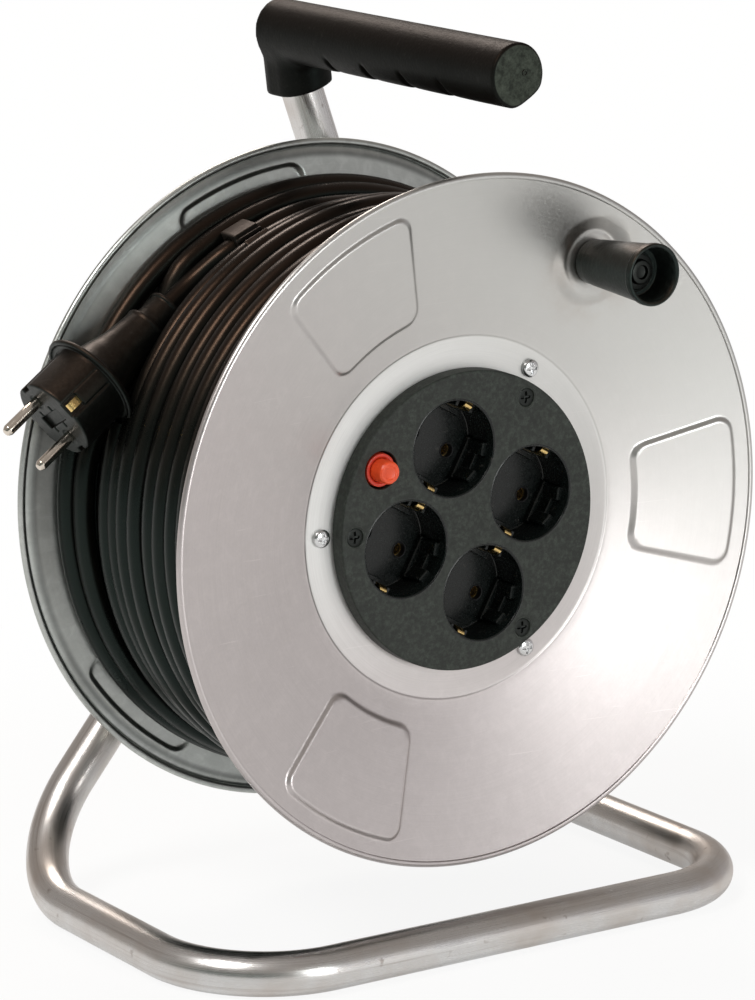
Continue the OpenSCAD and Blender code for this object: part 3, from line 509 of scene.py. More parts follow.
class Piece:
    """collects shells and makes them one object"""
    def __init__(self):
        self.points, self.faces, self.materials, self.count = [], [], [], 0

    def add(self, points, faces, origin=(0, 0, 0), axes=(X, Y, Z), material=0):
        points = np.asarray(points, float)
        placed = (np.asarray(origin, float) + points[:, :1] * axes[0]
                  + points[:, 1:2] * axes[1] + points[:, 2:3] * axes[2])
        self.points.append(placed)
        self.faces += [tuple(int(i) + self.count for i in face) for face in faces]
        self.materials += [material] * len(faces)
        self.count += len(points)
        return self

    def lathe(self, profile, origin, axes, count, material=0):
        """turns (radius, z) points about local z; equal ends close the profile"""
        is_loop = tuple(profile[0]) == tuple(profile[-1])
        if is_loop:
            profile = profile[:-1]
        points, rows, faces = [], [], []
        turns = np.arange(count) * 2 * pi / count
        for radius, z in profile:
            if radius < 1e-6:
                rows.append([len(points)] * count)
                points.append((0, 0, z))
            else:
                rows.append(list(range(len(points), len(points) + count)))
                points += [(radius * math.cos(t), radius * math.sin(t), z) for t in turns]
        for i in range(len(rows) if is_loop else len(rows) - 1):
            here, there = rows[i], rows[(i + 1) % len(rows)]
            for j in range(count):
                k = (j + 1) % count
                face = tuple(dict.fromkeys((here[j], here[k], there[k], there[j])))
                if len(face) > 2:
                    faces.append(face)
        return self.add(points, faces, origin, axes, material)

    def field(self, low, high, step, distance, origin, axes):
        """the closed surface distance(x, y, z) = 0, sampled every step"""
        counts = [int(math.ceil((b - a) / step)) + 1 for a, b in zip(low, high)]
        x, y, z = (low[i] + step * np.arange(counts[i]) for i in range(3))
        values = distance(x[:, None, None], y[None, :, None], z[None, None, :])
        values = np.clip(np.broadcast_to(values, counts), -3 * step, 3 * step)
        grid = openvdb.FloatGrid(3 * step)
        grid.copyFromArray(np.ascontiguousarray(values.astype(np.float32)))
        points, quads = grid.convertToQuads(isovalue=0.0)
        return self.add(np.asarray(points, float) * step + np.array(low),
                        np.asarray(quads)[:, ::-1].tolist(), origin, axes)

    def finish(self, name, body, slot, replaces=None, materials=None, angle=32):
        mesh = bpy.data.meshes.new(name)
        mesh.from_pydata((np.vstack(self.points) * MM).tolist(), [], self.faces)
        for key in materials or [slot]:
            mesh.materials.append(MATERIALS[key])
        mesh.polygons.foreach_set("material_index", self.materials)
        mesh.update()
        finish_mesh(mesh, name, body, angle, replaces)


def sweep(path, radius, count, caps=True, up=Y):
    """tube along a path; returns points, faces and uv (length in metres, turn 0..1)"""
    path = np.asarray(path, float)
    along = np.gradient(path, axis=0)
    along /= np.linalg.norm(along, axis=1)[:, None]
    if abs(up @ along[0]) > 0.95:
        up = X
    ups = [square_to(up, along[0])]
    for direction in along[1:]:
        ups.append(square_to(ups[-1], direction))
    ups = np.array(ups)
    sides = np.cross(along, ups)
    radius = np.broadcast_to(np.asarray(radius, float), (len(path),))
    turns = np.arange(count) * 2 * pi / count
    spokes = (ups[:, None] * np.cos(turns)[None, :, None]
              + sides[:, None] * np.sin(turns)[None, :, None])
    points = (path[:, None] + radius[:, None, None] * spokes).reshape(-1, 3)
    faces = grid_faces(len(path), count, wrap_columns=True)
    steps = np.linalg.norm(np.diff(path, axis=0), axis=1)
    length = np.r_[0, np.cumsum(steps)] * MM
    uv = np.c_[np.repeat(length, count), np.tile(np.arange(count) / count, len(path))]
    if caps:
        for end in (0, len(path) - 1):
            first, middle = end * count, len(points)
            points = np.vstack([points, path[end]])
            uv = np.vstack([uv, uv[first]])
            for j in range(count):
                pair = (first + j, first + (j + 1) % count)
                faces.append((*(pair if end else pair[::-1]), middle))
    return points, faces, uv


def sweep_piece(name, parts, body, slot, replaces):
    """one object with a UV map from several sweeps"""
    points = np.vstack([part[0] for part in parts])
    uvs = np.vstack([part[2] for part in parts])
    faces, start = [], 0
    for part_points, part_faces, _ in parts:
        faces += [tuple(i + start for i in face) for face in part_faces]
        start += len(part_points)
    mesh = bpy.data.meshes.new(name)
    mesh.from_pydata((points * MM).tolist(), [], faces)
    mesh.materials.append(MATERIALS[slot])
    corners = []
    for face in faces:
        uv = uvs[list(face)]
        # a face that closes the turn reads 1 and not 0
        if np.ptp(uv[:, 1]) > 0.5:
            uv[uv[:, 1] < 0.5, 1] += 1
        corners.append(uv)
    layer = mesh.uv_layers.new(name="UVMap")
    layer.data.foreach_set("uv", np.vstack(corners).astype(np.float32).ravel())
    mesh.update()
    finish_mesh(mesh, name, body, 40, replaces)


def rounded_path(points, radii, step):
    """polyline with true bends at its inner points, sampled about every step"""
    points = [np.array(point, float) for point in points]
    bent = [points[0]]
    for i in range(1, len(points) - 1):
        before, after = unit(points[i] - points[i - 1]), unit(points[i + 1] - points[i])
        swing = angle_between(before, after)
        inward = square_to(after, before)
        centre = points[i] - before * (radii[i] * math.tan(swing / 2)) + inward * radii[i]
        count = max(3, int(radii[i] * swing / step) + 1)
        for k in range(count + 1):
            turn = swing * k / count
            bent.append(centre - inward * radii[i] * math.cos(turn)
                        + before * radii[i] * math.sin(turn))
    bent.append(points[-1])
    # the straights are divided more coarsely
    path = [bent[0]]
    for start, end in zip(bent[:-1], bent[1:]):
        count = max(1, int(round(np.linalg.norm(end - start) / (step * 4))))
        path += [start + (end - start) * k / count for k in range(1, count + 1)]
    return np.array(path)


def smooth_max(first, second, width):
    share = np.clip(0.5 - 0.5 * (second - first) / width, 0, 1)
    return second * (1 - share) + first * share + width * share * (1 - share)


def smooth_min(first, second, width):
    return -smooth_max(-first, -second, width)


def carve(shape, *limits):
    """takes away the region where every limit is below zero"""
    hole = limits[0]
    for limit in limits[1:]:
        hole = np.maximum(hole, limit)
    return np.maximum(shape, -hole)


# corners of a flat strip's section as (across, through)
STRIP_CORNERS = ((-1, -1), (1, -1), (1, 1), (-1, 1))


def strip_faces(count):
    last = 4 * (count - 1)
    ends = [(3, 2, 1, 0), (last, last + 1, last + 2, last + 3)]
    return grid_faces(count, 4, wrap_columns=True) + ends


# ------------------------------------------------------------------ flanges
FIELD_HALF = 14.3                   # half angle of a raised field
FIELD_IN, FIELD_OUT, FIELD_CORNER, FIELD_H = 86.5, 133.5, 7.0, 1.5
FIELD_START = {"front": -0.5, "rear": -13.5}    # middle of the first field, degrees
SEAT_R = 13.0
BEAD_R = 1.6                        # radius of the rolled rim


def sheet_depth(radius, angle, side):
    """depth of the outer face of the sheet below the rim plane"""
    cone = cone_depth(radius)
    blend = 0.35
    share = np.clip(0.5 + 0.5 * (DISH - cone) / (2 * blend), 0, 1)
    depth = DISH * (1 - share) + cone * share - 2 * blend * share * (1 - share) * 0.5
    # a fine step where the hub ring meets the cone
    depth = depth - (0.30 * smoothstep(HUB_R - 0.2, HUB_R + 0.5, radius)
                     * np.exp(-np.clip(radius - HUB_R, 0, None) / 7))
    for j in range(3):
        off = (angle - FIELD_START[side] - 120 * j + 180) % 360 - 180
        across = radius * np.sin(np.radians(np.clip(np.abs(off), 0, 90) - FIELD_HALF))
        outward = np.maximum(FIELD_IN - radius, radius - FIELD_OUT)
        corner = np.hypot(np.maximum(across + FIELD_CORNER, 0),
                          np.maximum(outward + FIELD_CORNER, 0))
        edge = (corner + np.minimum(np.maximum(across, outward) + FIELD_CORNER, 0)
                - FIELD_CORNER)
        depth = depth - FIELD_H * smoothstep(0.5, -1.9, edge)
    if side == "front":
        from_knob = np.hypot(radius * np.cos(np.radians(angle)) - KNOB_X,
                             radius * np.sin(np.radians(angle)) - KNOB_Z)
        rise = (from_knob - SEAT_R) / 5.6
        seat = 1 - (np.clip(rise, 0, 1) * 0.55 + 0.45 * smoothstep(0, 1, rise))
        depth = (depth * (1 - seat) + SEAT_Y * seat
                 + 0.25 * np.exp(-((from_knob - SEAT_R) / 0.9) ** 2))
    return depth


def stations(spans):
    """values over (start, end, step) spans that follow each other"""
    values = []
    for start, end, step in spans:
        count = max(1, int(round((end - start) / step)))
        values += list(np.linspace(start, end, count + 1)[:-1])
    values.append(spans[-1][1])
    return np.array(values)


# (start, end, step) along the radius: inside the hub ring's edge, across it, and on the cone
HUB_SPANS = {"front": [(59.9, 74, 3.5)], "rear": [(10.6, 20, 2.4), (20, 74, 9)]}
EDGE_SPANS = [(74, 76.6, 0.32), (76.6, 85.2, 3), (85.2, 89.2, 0.4), (89.2, 95, 1.6)]
CONE_SPANS = {"front": [(95, 131.2, 0.72)], "rear": [(95, 126, 6), (126, 131.2, 1.3)]}
OUTER_SPANS = [(131.2, 135, 0.4), (135, CONE_R, 1.6)]


def flange_angles(side):
    """every 1.25 degrees, finer at the sides of the raised fields and at the knob's seat"""
    fine = []
    for j in range(3):
        for end in (-1, 1):
            edge = (FIELD_START[side] + 120 * j + end * FIELD_HALF) % 360
            inner = edge - end * 2.6
            fine.append((edge - 1.7, edge + 1.7, 0.28))
            fine.append((inner - 1.3, inner + 1.3, 0.5))
    if side == "front":
        fine.append((KNOB_ANGLE - 10, KNOB_ANGLE + 10, 0.34))
    angles = {round(angle % 360, 3) for angle in np.arange(0, 360, 1.25)
              if not any((angle - start) % 360 < end - start for start, end, _ in fine)}
    for start, end, step in fine:
        angles |= {round(angle % 360, 3) for angle in np.arange(start, end + 1e-6, step)}
    angles = np.array(sorted(angles))
    return angles[np.r_[True, np.diff(angles) > 0.12]]


def flange(side):
    angles = flange_angles(side)
    radii = stations(HUB_SPANS[side] + EDGE_SPANS + CONE_SPANS[side] + OUTER_SPANS)
    outer = sheet_depth(radii[None, :], angles[:, None], side)
    rows = [(radius, outer[:, i]) for i, radius in enumerate(radii)]
    # rolled rim: -90 faces out of the drum, 0 outwards, 90 into the drum
    curl_r = FLANGE_R - BEAD_R
    for turn in np.radians(np.linspace(-118, 152, 18)):
        rows.append((curl_r + BEAD_R * math.cos(turn), BEAD_R + BEAD_R * math.sin(turn)))
    # the gap behind the curl
    rows.append((curl_r - BEAD_R * 0.93, BEAD_R - 0.35))
    rows.append((CONE_R - 1.35, CONE_FOOT + 1.35 * SLOPE + 0.42))
    # inner face of the sheet, back towards the axis
    through = SHEET / math.cos(math.atan(SLOPE))
    rows += [(radii[i], outer[:, i] + through) for i in reversed(range(len(radii)))
             if radii[i] <= CONE_R - 2.4]
    radius = np.array([row[0] for row in rows])[:, None]
    depth = np.array([np.broadcast_to(row[1], len(angles)) for row in rows])
    turn = np.radians(angles)[None, :]
    y = depth - HALF_W if side == "front" else HALF_W - depth
    points = np.stack([radius * np.cos(turn), y, DRUM_Z + radius * np.sin(turn)], -1)
    faces = grid_faces(*depth.shape, wrap_rows=True, wrap_columns=True)
    Piece().add(points.reshape(-1, 3), faces).finish(
        f"{side}_flange_sheet", "drum", f"{side}_sheet", f"{side}_flange", angle=38)


flange("front")
flange("rear")

# ------------------------------------------------------------------ frame tube
tube_lo, tube_hi = box_mm("frame_tube")
TUBE_R = 9.0
RAIL_X = (tube_hi[0] - tube_lo[0]) / 2 - TUBE_R
FRONT_Y = tube_lo[1] + TUBE_R
RISER_Y = tube_hi[1] - TUBE_R
GRIP_Z = 362.0
TOP_X = 2.2                         # where the right riser ends, under the grip
foot_left = np.array([-RAIL_X, RISER_Y, TUBE_R])
foot_right = np.array([RAIL_X, RISER_Y, TUBE_R])
top = np.array([TOP_X, RISER_Y, GRIP_Z])
left_up = unit(np.array([0, RISER_Y, DRUM_Z]) - foot_left)
right_up = unit(top - foot_right)


def weld_bead(meet):
    """a lumpy ring where the left riser ends on the right riser"""
    across = unit(np.cross(Y, left_up))
    # the slide back along the left riser to the right riser's surface solves a quadratic
    slide = left_up - right_up * (left_up @ right_up)
    ring = []
    for k in range(96):
        turn = 2 * pi * k / 96
        spot = meet + TUBE_R * (math.cos(turn) * Y + math.sin(turn) * across)
        off = spot - meet
        off = off - right_up * (off @ right_up)
        square, linear = slide @ slide, -2 * (off @ slide)
        constant = off @ off - (TUBE_R + 0.2) ** 2
        root = math.sqrt(max(linear * linear - 4 * square * constant, 0))
        ring.append(spot - left_up * ((-linear + root) / (2 * square)))
    ring.append(ring[0])
    turns = np.arange(97) * 2 * pi / 96
    radius = 1.9 + 0.35 * np.sin(turns * 24) + 0.25 * np.sin(turns * 5)
    return sweep(ring, radius, 14, caps=False, up=Z)


def frame_tube():
    reach = RAIL_X * 2 / (left_up[0] - right_up[0] * left_up[2] / right_up[2])
    meet = foot_left + left_up * reach
    path = rounded_path(
        [meet - left_up * 1.0, foot_left, (-RAIL_X, FRONT_Y, TUBE_R),
         (RAIL_X, FRONT_Y, TUBE_R), foot_right, top - right_up * 2],
        radii=[0, 50, 50, 45, 50, 0], step=2.0)
    sweep_piece("frame_tube_bent", [sweep(path, TUBE_R, 48), weld_bead(meet)],
                "frame", "tube_steel", "frame_tube")


frame_tube()

# ------------------------------------------------------------------ cable
CORE_HALF = HALF_W - DISH - SHEET - 0.4
# plug: middle of its face, the way it looks, the line of its pins and the third axis
PLUG_FACE = np.array([-142.3, 32.35, DRUM_Z + 42.2])
PLUG_OUT = unit([-0.8187, -0.0885, -0.567])
PLUG_PINS = square_to(np.array([0.551, -0.398, -0.733]), PLUG_OUT)
PLUG_SIDE = np.cross(PLUG_OUT, PLUG_PINS)
# clip: its middle, the way the cable runs, away from the drum axis and the third axis
CLIP = np.array([-51, 33.65, DRUM_Z + 106.6])
CLIP_ALONG = unit([-0.902, 0.05, -0.432])
CLIP_OUT = square_to(np.array([CLIP[0], 0, CLIP[2] - DRUM_Z]), CLIP_ALONG)
CLIP_SIDE = np.cross(CLIP_ALONG, CLIP_OUT)
# outline the turns keep clear of: distance behind the plug's face, radius
PLUG_BEHIND = [0, 21, 21.1, 25, 26, 30, 38, 50, 56, 72]
PLUG_RADII = [18.2, 18.2, 22.6, 22.6, 16.0, 12.8, 11.2, 11.4, 8.4, 7.6]


def wall_y(radius):
    """how far from the middle a cable of this turn radius may lie"""
    return HALF_W - (cone_depth(radius) + SHEET + 0.5) - CABLE_R


def clear_of_plug(path):
    """presses the turns under the plug towards the axis"""
    path = path.copy()
    for _ in range(6):
        off = path - PLUG_FACE
        behind = -(off @ PLUG_OUT)
        gap = np.linalg.norm(off + behind[:, None] * PLUG_OUT, axis=1)
        plug_r = np.interp(np.clip(behind, 0.1, 72), PLUG_BEHIND, PLUG_RADII)
        need = np.where((behind > -6) & (behind < 74), plug_r + CABLE_R + 0.3, 0)
        over = np.clip(need - gap, 0, None)
        outward = np.c_[path[:, 0], np.zeros(len(path)), path[:, 2] - DRUM_Z]
        outward /= np.linalg.norm(outward, axis=1)[:, None]
        path -= outward * (over * 0.6)[:, None]
    return path


def smoothed(path):
    """weighted mean over three neighbours on each side"""
    weights = np.hanning(9)[1:-1]
    weights /= weights.sum()
    padded = np.pad(path, ((3, 3), (0, 0)), mode="edge")
    return np.stack([np.convolve(padded[:, i], weights, mode="valid") for i in range(3)], 1)


def winding(turns, start, seed, per_turn, wobble):
    """a run of (y, radius) turns; each steps over to the next in its last fifth"""
    phases = np.random.RandomState(seed).uniform(0, 2 * pi, (len(turns) + 1, 4))
    path = []
    for i, (y_here, radius_here) in enumerate(turns):
        y_next, radius_next = turns[min(i + 1, len(turns) - 1)]
        for k in range(per_turn):
            share = k / per_turn
            step = float(smoothstep(0.80, 1.0, share))
            y = y_here + (y_next - y_here) * step
            radius = radius_here + (radius_next - radius_here) * step
            turn = 2 * pi * share
            sway = (1 - abs(2 * share - 1) ** 6) * wobble
            y += sway * (0.6 * math.sin(turn + phases[i, 0])
                         + 0.5 * math.sin(2 * turn + phases[i, 1]))
            radius += sway * 0.6 * (0.6 * math.sin(2 * turn + phases[i, 2])
                                    + 0.5 * math.sin(3 * turn + phases[i, 3]))
            path.append(polar_point(radius, start + 360 * share, y))
    return np.array(path)


def even_turns(count, radius, wall_radius):
    """(y, radius) of turns spread from the rear wall to the front wall"""
    reach = wall_y(wall_radius)
    return [(y, radius) for y in np.linspace(reach, -reach, count)]


# the outer layer as (y, radius): two turns ride high on the rear flange
REAR_TURNS = [(wall_y(124.4) - 0.1, 124.4), (45.4, 121.6)]
OUTER_TURNS = [(22.6, 118.9), (12.6, 121.2), (3.0, 121.8), (-6.7, 120.4), (-16.4, 121.6),
               (-25.7, 121.0), (-35.4, 121.9), (-44.9, 121.3), (-wall_y(122.0), 122.0)]
# turns, start angle, seed, points per turn, wobble, sides of the tube
WINDINGS = [
    (even_turns(11, 104, wall_radius=104), -60, 3, 96, 0.3, 12),
    (even_turns(12, 112.8, wall_radius=112.5), -60, 5, 110, 0.5, 16),
    (REAR_TURNS, -80, 8, 128, 0.45, 22),
    (OUTER_TURNS, -80, 9, 128, 0.6, 22),
]
TAIL_R, TAIL_Y, TAIL_ANGLE = 118.3, 31, 86      # where the free end leaves the drum


def cable():
    parts = []
    for *layer, sides in WINDINGS:
        path = smoothed(clear_of_plug(winding(*layer)))
        parts.append(sweep(path, CABLE_R, sides))
    sweep_piece("cable_turns", parts, "drum", "cable_rubber", "cable_coil")
    # a plain sleeve fills the layers nobody sees
    core = [(73.1, -CORE_HALF), (99.6, -CORE_HALF - 1), (99.6, CORE_HALF + 1),
            (73.1, CORE_HALF), (73.1, -CORE_HALF)]
    Piece().lathe(core, (0, 0, DRUM_Z), FRONT, 96).finish(
        "cable_inner_layers", "drum", "cable_rubber")
    tail = rounded_path(
        [polar_point(TAIL_R, TAIL_ANGLE, TAIL_Y), CLIP - CLIP_ALONG * 27,
         CLIP + CLIP_ALONG * 10, PLUG_FACE - PLUG_OUT * 86, PLUG_FACE - PLUG_OUT * 56],
        radii=[0, 80, 34, 34, 0], step=1.5)
    lead = [polar_point(TAIL_R + 0.4 * math.sin(math.radians(angle * 2)), angle,
                        TAIL_Y + 1.2 * math.sin(math.radians((TAIL_ANGLE - angle) * 0.8)))
            for angle in np.arange(-200, 85, 2.5)]
    path = smoothed(np.vstack([lead, tail]))
    sweep_piece("cable_free_end", [sweep(path, CABLE_R, 26)], "drum", "cable_rubber",
                "cable_tail")


cable()

# ------------------------------------------------------------------ grip
GRIP_LEN = 172.0
GRIP_TILT = math.radians(1.1)       # the grip falls slightly towards the front
GRIP_ALONG = np.array([0, -math.cos(GRIP_TILT), -math.sin(GRIP_TILT)])
GRIP_UP = np.cross(GRIP_ALONG, X)
GRIP_ORIGIN = np.array([0, RISER_Y, GRIP_Z - 0.6])
NOTCHES = [52 + 27 * i for i in range(4)]


def grip_field(x, along, up):
    """a bar with notches on its underside, on a stub round the tube's top"""
    ring = np.sqrt((x / 12.35) ** 2 + (up / 13.0) ** 2)
    down = np.degrees(np.arctan2(-up, np.abs(x) + 1e-6))        # 90 straight down
    bar = (ring - 1) * 12.7
    # the lower right is flatter than the rest
    bar = smooth_max(bar, 0.53 * x - 0.85 * up - 11.4, 2.0)
    low = smoothstep(20, 46, down)
    side = low * (1 - 0.5 * smoothstep(70, 90, down))
    cut = 0
    for notch in NOTCHES:
        off = along - notch
        cut = cut + np.exp(-(off / 1.3) ** 2) * 0.95 * side
        cut = cut + np.where(off > 0, np.exp(-off / 8.0), np.exp(off / 1.5)) * 0.3 * low
    bar = smooth_max(bar + cut, along - GRIP_LEN, 1.6)
    bar = np.maximum(bar, -along + 1.5)
    # stub: an oblong column, longer towards the front, domed above the corner
    across = (x - TOP_X - 1.6 + 0.2 * np.minimum(up, -4.0)) * 0.985
    y = -along
    off_y = y - np.clip(y, -8.6, -2.4)
    column = np.hypot(across, off_y) - 12.0 - 0.045 * np.clip(-up - 4, 0, 24)
    dome = (np.sqrt((across / 12.0) ** 2 + (off_y / 12.0) ** 2
                    + (np.maximum(up + 4, 0) / 15.2) ** 2) - 1) * 12.0
    down_tube = -(x - TOP_X) * right_up[0] - up * right_up[2]
    stub = smooth_max(np.where(up > -4, dome, column), down_tube - 24.4, 1.0)
    return smooth_min(bar, stub, 1.2 + 3.6 * smoothstep(2, -8, up))


def grip():
    piece = Piece().field((-15, -14, -30), (15.5, GRIP_LEN + 2, 15), 0.5, grip_field,
                          GRIP_ORIGIN, (X, GRIP_ALONG, GRIP_UP))
    # a small round pip on the front end
    pip = fillet([(0.0, 0.42, 0), (0.62, 0.42, 0), (0.85, 0.72, 0.1), (1.2, 0.72, 0.15),
                  (1.35, 0.0, 0), (0.9, -0.5, 0), (0, -0.5, 0)], 3)
    place = GRIP_ORIGIN + GRIP_ALONG * (GRIP_LEN - 0.35) + X * 2.9 + GRIP_UP * 1.0
    piece.lathe(pip, place, (X, GRIP_UP, GRIP_ALONG), 32)
    piece.finish("handle_grip_moulded", "frame", "handle_plastic", "handle_grip", angle=50)


grip()

# ------------------------------------------------------------------ socket plate
PLATE_R = 62.0
RECESS_R, RECESS_D = 19.5, 17.5
PLATE_MIDDLE = np.array([0, -HALF_W + PLATE_Y, DRUM_Z])


def plate_point(radius, angle):
    """x and z from the drum axis"""
    return np.array([radius * math.cos(math.radians(angle)),
                     radius * math.sin(math.radians(angle))])


def on_plate(point):
    return PLATE_MIDDLE + X * point[0] + Z * point[1]


SOCKETS = [plate_point(31.8, 14.3 + 90 * k) for k in range(4)]
POSTS = [plate_point(POST_R, angle) for angle in SCREW_ANGLES]
BUTTON = on_plate(plate_point(50.5, 149.0))
PIN_LINE = plate_point(1, -29.0)
PIN_DIR = X * PIN_LINE[0] + Z * PIN_LINE[1]
CROSS_DIR = X * -PIN_LINE[1] + Z * PIN_LINE[0]


def circle(radius, count, centre=(0, 0)):
    turns = np.arange(count) * 2 * pi / count
    return np.c_[centre[0] + radius * np.cos(turns), centre[1] + radius * np.sin(turns)]


def flat(piece, outer, holes, z, origin, material=0):
    """a flat face with holes, looking to the front"""
    rings = [outer, *holes]
    points = np.vstack(rings)
    triangles = tessellate_polygon([[Vector((x, y, 0)) for x, y in ring] for ring in rings])
    piece.add(np.c_[points, np.full(len(points), z)], triangles, origin, FRONT, material)


def facing(direction):
    """local axes with x along direction and z to the front"""
    return direction, np.cross(-Y, direction), -Y


def socket_plate():
    piece = Piece()
    foot = -(DISH - PLATE_Y) + 0.05
    flat(piece, circle(PLATE_R - 1.6, 160),
         [circle(RECESS_R + 0.95, 96, centre) for centre in SOCKETS]
         + [circle(4.05, 40, centre) for centre in POSTS]
         + [circle(8.05, 56, plate_point(50.5, 149.0))], 0, PLATE_MIDDLE)
    edge = fillet([(PLATE_R - 1.6, 0, 0), (PLATE_R - 0.1, 0, 1.3), (PLATE_R, foot, 0)], 6)
    piece.lathe(edge + [(PLATE_R - 3, foot), (PLATE_R - 3, -1.2)], PLATE_MIDDLE, FRONT, 160)
    # screw holes, each with a raised ring
    for centre in POSTS:
        origin = on_plate(centre)
        piece.lathe([(4.05, 0), (3.95, -0.1), (3.85, -0.9), (3.2, -1.3), (1.9, -2.2),
                     (1.9, -6), (0, -6)], origin, FRONT, 40)
        piece.lathe([(4.95, -0.05), (4.75, 0.16), (4.45, 0.16), (4.3, -0.05)],
                    origin, FRONT, 48)
    button_hole = fillet([(8.05, 0, 0), (7.75, -0.25, 0.2), (7.75, -12, 0)], 3) + [(0, -12)]
    piece.lathe(button_hole, BUTTON, FRONT, 56)
    recess = fillet([
        (RECESS_R + 0.95, 0, 0), (RECESS_R + 0.6, 0.12, 0.15), (RECESS_R + 0.05, -0.3, 0.35),
        (RECESS_R - 0.05, -1.3, 0.4), (RECESS_R - 0.15, -RECESS_D, 0.8),
        (RECESS_R - 1.3, -RECESS_D, 0)], 4)
    pin_hole = fillet([
        (3.5, -RECESS_D, 0), (3.2, -RECESS_D + 0.35, 0.15), (2.85, -RECESS_D + 0.3, 0.15),
        (2.7, -RECESS_D - 0.6, 0), (2.7, -RECESS_D - 8, 0)], 3) + [(0, -RECESS_D - 8)]
    for centre in SOCKETS:
        origin = on_plate(centre)
        pins = [side * PIN_HALF * PIN_LINE for side in (-1, 1)]
        # painted shade: the walls and floor of each recess take the darker recess plastic
        piece.lathe(recess, origin, FRONT, 96, material=1)
        flat(piece, circle(RECESS_R - 1.3, 96), [circle(3.5, 32, pin) for pin in pins],
             -RECESS_D, origin, material=1)
        for pin in pins:
            piece.lathe(pin_hole, origin + X * pin[0] + Z * pin[1], FRONT, 32, material=2)
    piece.finish("socket_face", "drum", "socket_plastic", "socket_plate", angle=35,
                 materials=["socket_plastic", "recess_shaded_plastic", "core_plastic"])


def chamfered_box(piece, centre, half, axes, chamfer):
    half = np.array(half, float)
    signs = (-1, 1)
    points, index = [], {}
    for corner in itertools.product(signs, repeat=3):
        for k in range(3):
            point = half - chamfer
            point[k] = half[k]
            index[(*corner, k)] = len(points)
            points.append(np.array(corner) * point)
    faces = []
    for k in range(3):
        first, second = [q for q in range(3) if q != k]
        for side in signs:
            face = []
            for corner in STRIP_CORNERS:
                spot = [0, 0, 0]
                spot[k], spot[first], spot[second] = side, *corner
                face.append(index[(*spot, k)])
            faces.append(face)
    for k in range(3):
        first, second = [q for q in range(3) if q != k]
        for side, other in itertools.product(signs, repeat=2):
            low = [0, 0, 0]
            low[k], low[first], low[second] = -1, side, other
            high = list(low)
            high[k] = 1
            faces.append([index[(*low, first)], index[(*high, first)],
                          index[(*high, second)], index[(*low, second)]])
    for corner in itertools.product(signs, repeat=3):
        faces.append([index[(*corner, k)] for k in range(3)])
    piece.add(points, faces, centre, axes)


def recess_ribs():
    """raised work in each recess, at both ends of the pin line and of the line across it"""
    piece = Piece()
    for centre in SOCKETS:
        origin = on_plate(centre)
        for side in (-1, 1):
            pin_axes, cross_axes = facing(PIN_DIR * side), facing(CROSS_DIR * side)
            pin, beside = pin_axes[:2]
            cross, along = cross_axes[:2]
            # two ribs and the block between them
            for end in (-1, 1):
                turn = math.radians(19 * end)
                rib = pin * math.cos(turn) + beside * math.sin(turn)
                chamfered_box(piece, origin + rib * 18.5 + Y * 10.9, (1.3, 2.75, 6.6),
                              facing(rib), 0.45)
            chamfered_box(piece, origin + pin * 18.4 + Y * 13.0, (1.1, 4.0, 4.6),
                          pin_axes, 0.3)
            # guard round the foot of the earth contact
            for end in (-1, 1):
                chamfered_box(piece, origin + cross * 18.0 + along * end * 3.9 + Y * 11.4,
                              (1.5, 0.8, 6.0), cross_axes, 0.25)
            chamfered_box(piece, origin + cross * 17.0 + Y * 15.2, (1.0, 4.7, 2.3),
                          cross_axes, 0.3)
            # steps on the floor
            chamfered_box(piece, origin + pin * 16.9 + Y * (RECESS_D - 1.2),
                          (1.5, 9.2, 1.7), pin_axes, 0.4)
            chamfered_box(piece, origin + cross * 15.2 + Y * (RECESS_D - 0.9),
                          (1.2, 6.2, 1.4), cross_axes, 0.35)
    # the ribs take the recess plastic's painted shade
    piece.finish("recess_ribs", "drum", "socket_plastic", materials=["recess_shaded_plastic"],
                 angle=30)


# a contact arm from its foot to its curled tip: height, radius in the recess, half width
CONTACT_ARM = np.array([
    (0, 17.9, 2.5), (2, 17.9, 2.5), (5, 17.6, 2.4), (9, 16.9, 2.3), (12, 16.6, 2.2),
    (14, 16.75, 2.1), (15.4, 17.2, 2.0), (16.4, 17.9, 1.9), (16.9, 18.6, 1.8),
    (16.6, 19.1, 1.7)])


def earth_contacts():
    """a ring, cross strips and eight sprung arms"""
    height, radius, width = (np.interp(np.linspace(0, 9, 46), range(10), column)
                             for column in CONTACT_ARM.T)
    for _ in range(3):
        for line in (height, radius):
            line[1:-1] = (line[:-2] + 2 * line[1:-1] + line[2:]) / 4
    normal = np.stack([np.gradient(height), -np.gradient(radius)], 1)
    normal /= np.linalg.norm(normal, axis=1)[:, None]
    arm = [(radius[i] + normal[i, 0] * 0.3 * through, across * width[i],
            height[i] + normal[i, 1] * 0.3 * through)
           for i in range(len(height)) for across, through in STRIP_CORNERS]
    base_y = -HALF_W + 28.0
    piece = Piece().lathe([(33.2, 0), (33.2, -1), (30.4, -1), (30.4, 0), (33.2, 0)],
                          (0, base_y, DRUM_Z), FRONT, 96)
    for x, z in SOCKETS:
        origin = np.array([x, base_y, DRUM_Z + z])
        chamfered_box(piece, origin + Y * 0.5, (18.3, 2.5, 0.5), facing(CROSS_DIR), 0.15)
        for side in (-1, 1):
            piece.add(arm, strip_faces(len(height)), origin, facing(CROSS_DIR * side))
    piece.finish("earth_contact_strips", "drum", "contact_brass", "earth_contacts",
                 angle=30)


socket_plate()
recess_ribs()
earth_contacts()

